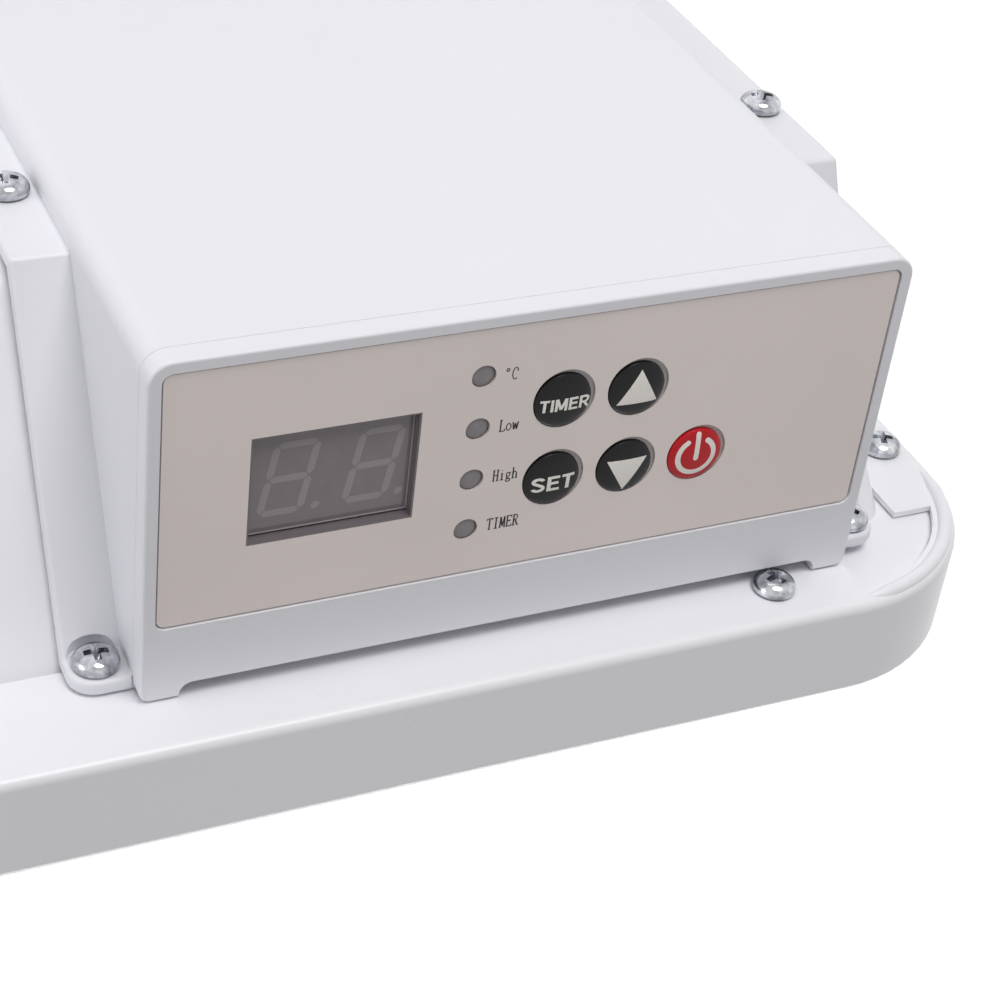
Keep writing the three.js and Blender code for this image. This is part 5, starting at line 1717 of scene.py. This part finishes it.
class HEATER_OT_finishes(bpy.types.Operator):
    """Make every finish and paint the solids that stay as they are"""

    bl_idname = "heater.finishes"
    bl_label = "Finishes"

    def execute(self, context):
        make_finishes(context.scene.heater_finish)
        for entry in frame["record"]["subparts"]:
            node = frame["nodes"][entry["node"]]
            for slot in node.material_slots:
                slot.material = FINISHES[entry["material_slot"]]
        return {"FINISHED"}


# ------------------------ studio


# Each lamp's place, what it is aimed at, and its width, in metres.
SOFT_LAMPS = {
    "key": ((0.35, 1.48, 0.71), (0.1, 0, 0.15), 0.9),
    "side": ((-1.6, 0.5, 0.2), (0, 0, 0.05), 1.2),
    "front": ((0.4, -2.1, 0.25), (0, 0, 0), 1.6),
}


def soft_lamp(name, place, aim, size, watts):
    light = bpy.data.lights.new(name, "AREA")
    light.shape = "DISK"
    light.size = size
    light.energy = watts
    lamp = add_object(name, light)
    lamp.location = place
    lamp.rotation_euler = (Vector(aim) - Vector(place)).to_track_quat("-Z", "Y").to_euler()


def seen_directly(tree):
    """1 where a ray comes from the camera, a mirror or glass."""
    path = tree.nodes.new("ShaderNodeLightPath").outputs
    total = path["Is Camera Ray"]
    for name in ("Is Glossy Ray", "Is Transmission Ray"):
        total = add_node(tree, "ShaderNodeMath", {0: total, 1: path[name]}, operation="MAXIMUM")
    return total


def mix_shaders(tree, factor, first, second, output):
    """Feeds a blend of two shaders to the tree's output node."""
    mix = add_node(tree, "ShaderNodeMixShader", {0: factor, 1: first, 2: second})
    tree.links.new(mix, tree.nodes[output].inputs["Surface"])


FLOOR_GLOW = 1.2
FLOOR_GLOW_PART = 0.8
FLOOR_REACH = 6


def floor_material(tint):
    """Pale floor that looks nearly white and still takes a shadow."""
    material = bpy.data.materials.new("studio floor")
    material.use_nodes = True
    tree = material.node_tree
    shader = tree.nodes["Principled BSDF"]
    feed(tree, shader.inputs["Base Color"], tint)
    shader.inputs["Roughness"].default_value = 0.8
    glow = add_node(tree, "ShaderNodeEmission", {"Strength": FLOOR_GLOW})
    part = add_node(
        tree, "ShaderNodeMath", {0: seen_directly(tree), 1: FLOOR_GLOW_PART}, operation="MULTIPLY")
    mix_shaders(tree, part, shader.outputs[0], glow, "Material Output")
    return material


def studio_world(strength):
    """Even white surround, dimmer as a light than it looks."""
    world = bpy.data.worlds.new("studio surround")
    world.use_nodes = True
    tree = world.node_tree
    ground = tree.nodes["Background"]
    ground.inputs["Color"].default_value = (1, 1, 1, 1)
    ground.inputs["Strength"].default_value = strength
    seen = add_node(tree, "ShaderNodeBackground", {"Color": (1, 1, 1)})
    mix_shaders(tree, seen_directly(tree), ground.outputs[0], seen, "World Output")
    bpy.context.scene.world = world


CAMERA_PLACE = Vector((0.0776716, 0.1737019, 0.4457212))
CAMERA_RIGHT = Vector((0.9089680, 0.1074840, 0.4027707))
CAMERA_UP = Vector((0.1598382, 0.8024799, -0.5748718))


def studio_camera(lens):
    """The camera stands above and behind the control box and is rolled as the photograph is."""
    camera = add_object("camera", bpy.data.cameras.new("camera"))
    camera.data.lens = lens
    camera.data.sensor_width = 36
    camera.data.clip_start = 0.01
    back = CAMERA_RIGHT.cross(CAMERA_UP)
    turn = Matrix((CAMERA_RIGHT, CAMERA_UP, back)).transposed().to_4x4()
    camera.matrix_world = Matrix.Translation(CAMERA_PLACE) @ turn
    bpy.context.scene.camera = camera


class HEATER_OT_studio(bpy.types.Operator):
    """Set the camera, the pale floor and the soft lights"""

    bl_idname = "heater.studio"
    bl_label = "Studio"

    def execute(self, context):
        studio = context.scene.heater_studio
        studio_camera(studio.lens)
        corners = [(-1, -1), (1, -1), (1, 1), (-1, 1)]
        floor = solid(
            "floor", [(FLOOR_REACH * x, FLOOR_REACH * y, CAD_BOX[0][2]) for x, y in corners],
            [(0, 1, 2, 3)])
        if floor.data.polygons[0].normal.z < 0:
            floor.data.flip_normals()
        floor.data.materials.append(floor_material(studio.floor))
        studio_world(studio.sky)
        for name, (place, aim, size) in SOFT_LAMPS.items():
            soft_lamp(name, place, aim, size, getattr(studio, name))
        context.scene.view_settings.view_transform = "Standard"
        return {"FINISHED"}


# ------------------------ panel and registration


OPERATORS = (
    HEATER_OT_studio,
    HEATER_OT_finishes,
    HEATER_OT_pan,
    HEATER_OT_cover,
    HEATER_OT_housing,
    HEATER_OT_bezel,
    HEATER_OT_label,
    HEATER_OT_legends,
    HEATER_OT_buttons,
    HEATER_OT_display,
    HEATER_OT_lamps,
    HEATER_OT_screws,
)

SETTINGS = {
    "heater_pan": HeaterPan,
    "heater_cover": HeaterCover,
    "heater_box": HeaterBox,
    "heater_panel": HeaterPanel,
    "heater_finish": HeaterFinish,
    "heater_studio": HeaterStudio,
}


class HEATER_PT_sidebar(bpy.types.Panel):
    """Sizes, colours and steps of the heater"""

    bl_idname = "HEATER_PT_sidebar"
    bl_label = "Heater"
    bl_space_type = "VIEW_3D"
    bl_region_type = "UI"
    bl_category = "Heater"

    def draw(self, context):
        for operator in OPERATORS:
            self.layout.operator(operator.bl_idname)
        for name in SETTINGS:
            group = getattr(context.scene, name)
            column = self.layout.column(align=True)
            for key in group.__annotations__:
                column.prop(group, key)


def register():
    for name, group in SETTINGS.items():
        bpy.utils.register_class(group)
        setattr(bpy.types.Scene, name, bpy.props.PointerProperty(type=group))
    for operator in OPERATORS:
        bpy.utils.register_class(operator)
    bpy.utils.register_class(HEATER_PT_sidebar)


def unregister():
    bpy.utils.unregister_class(HEATER_PT_sidebar)
    for operator in reversed(OPERATORS):
        bpy.utils.unregister_class(operator)
    for name, group in SETTINGS.items():
        delattr(bpy.types.Scene, name)
        bpy.utils.unregister_class(group)


def main():
    register()
    for operator in OPERATORS:
        group, step = operator.bl_idname.split(".")
        getattr(getattr(bpy.ops, group), step)()


if __name__ == "__main__":
    main()
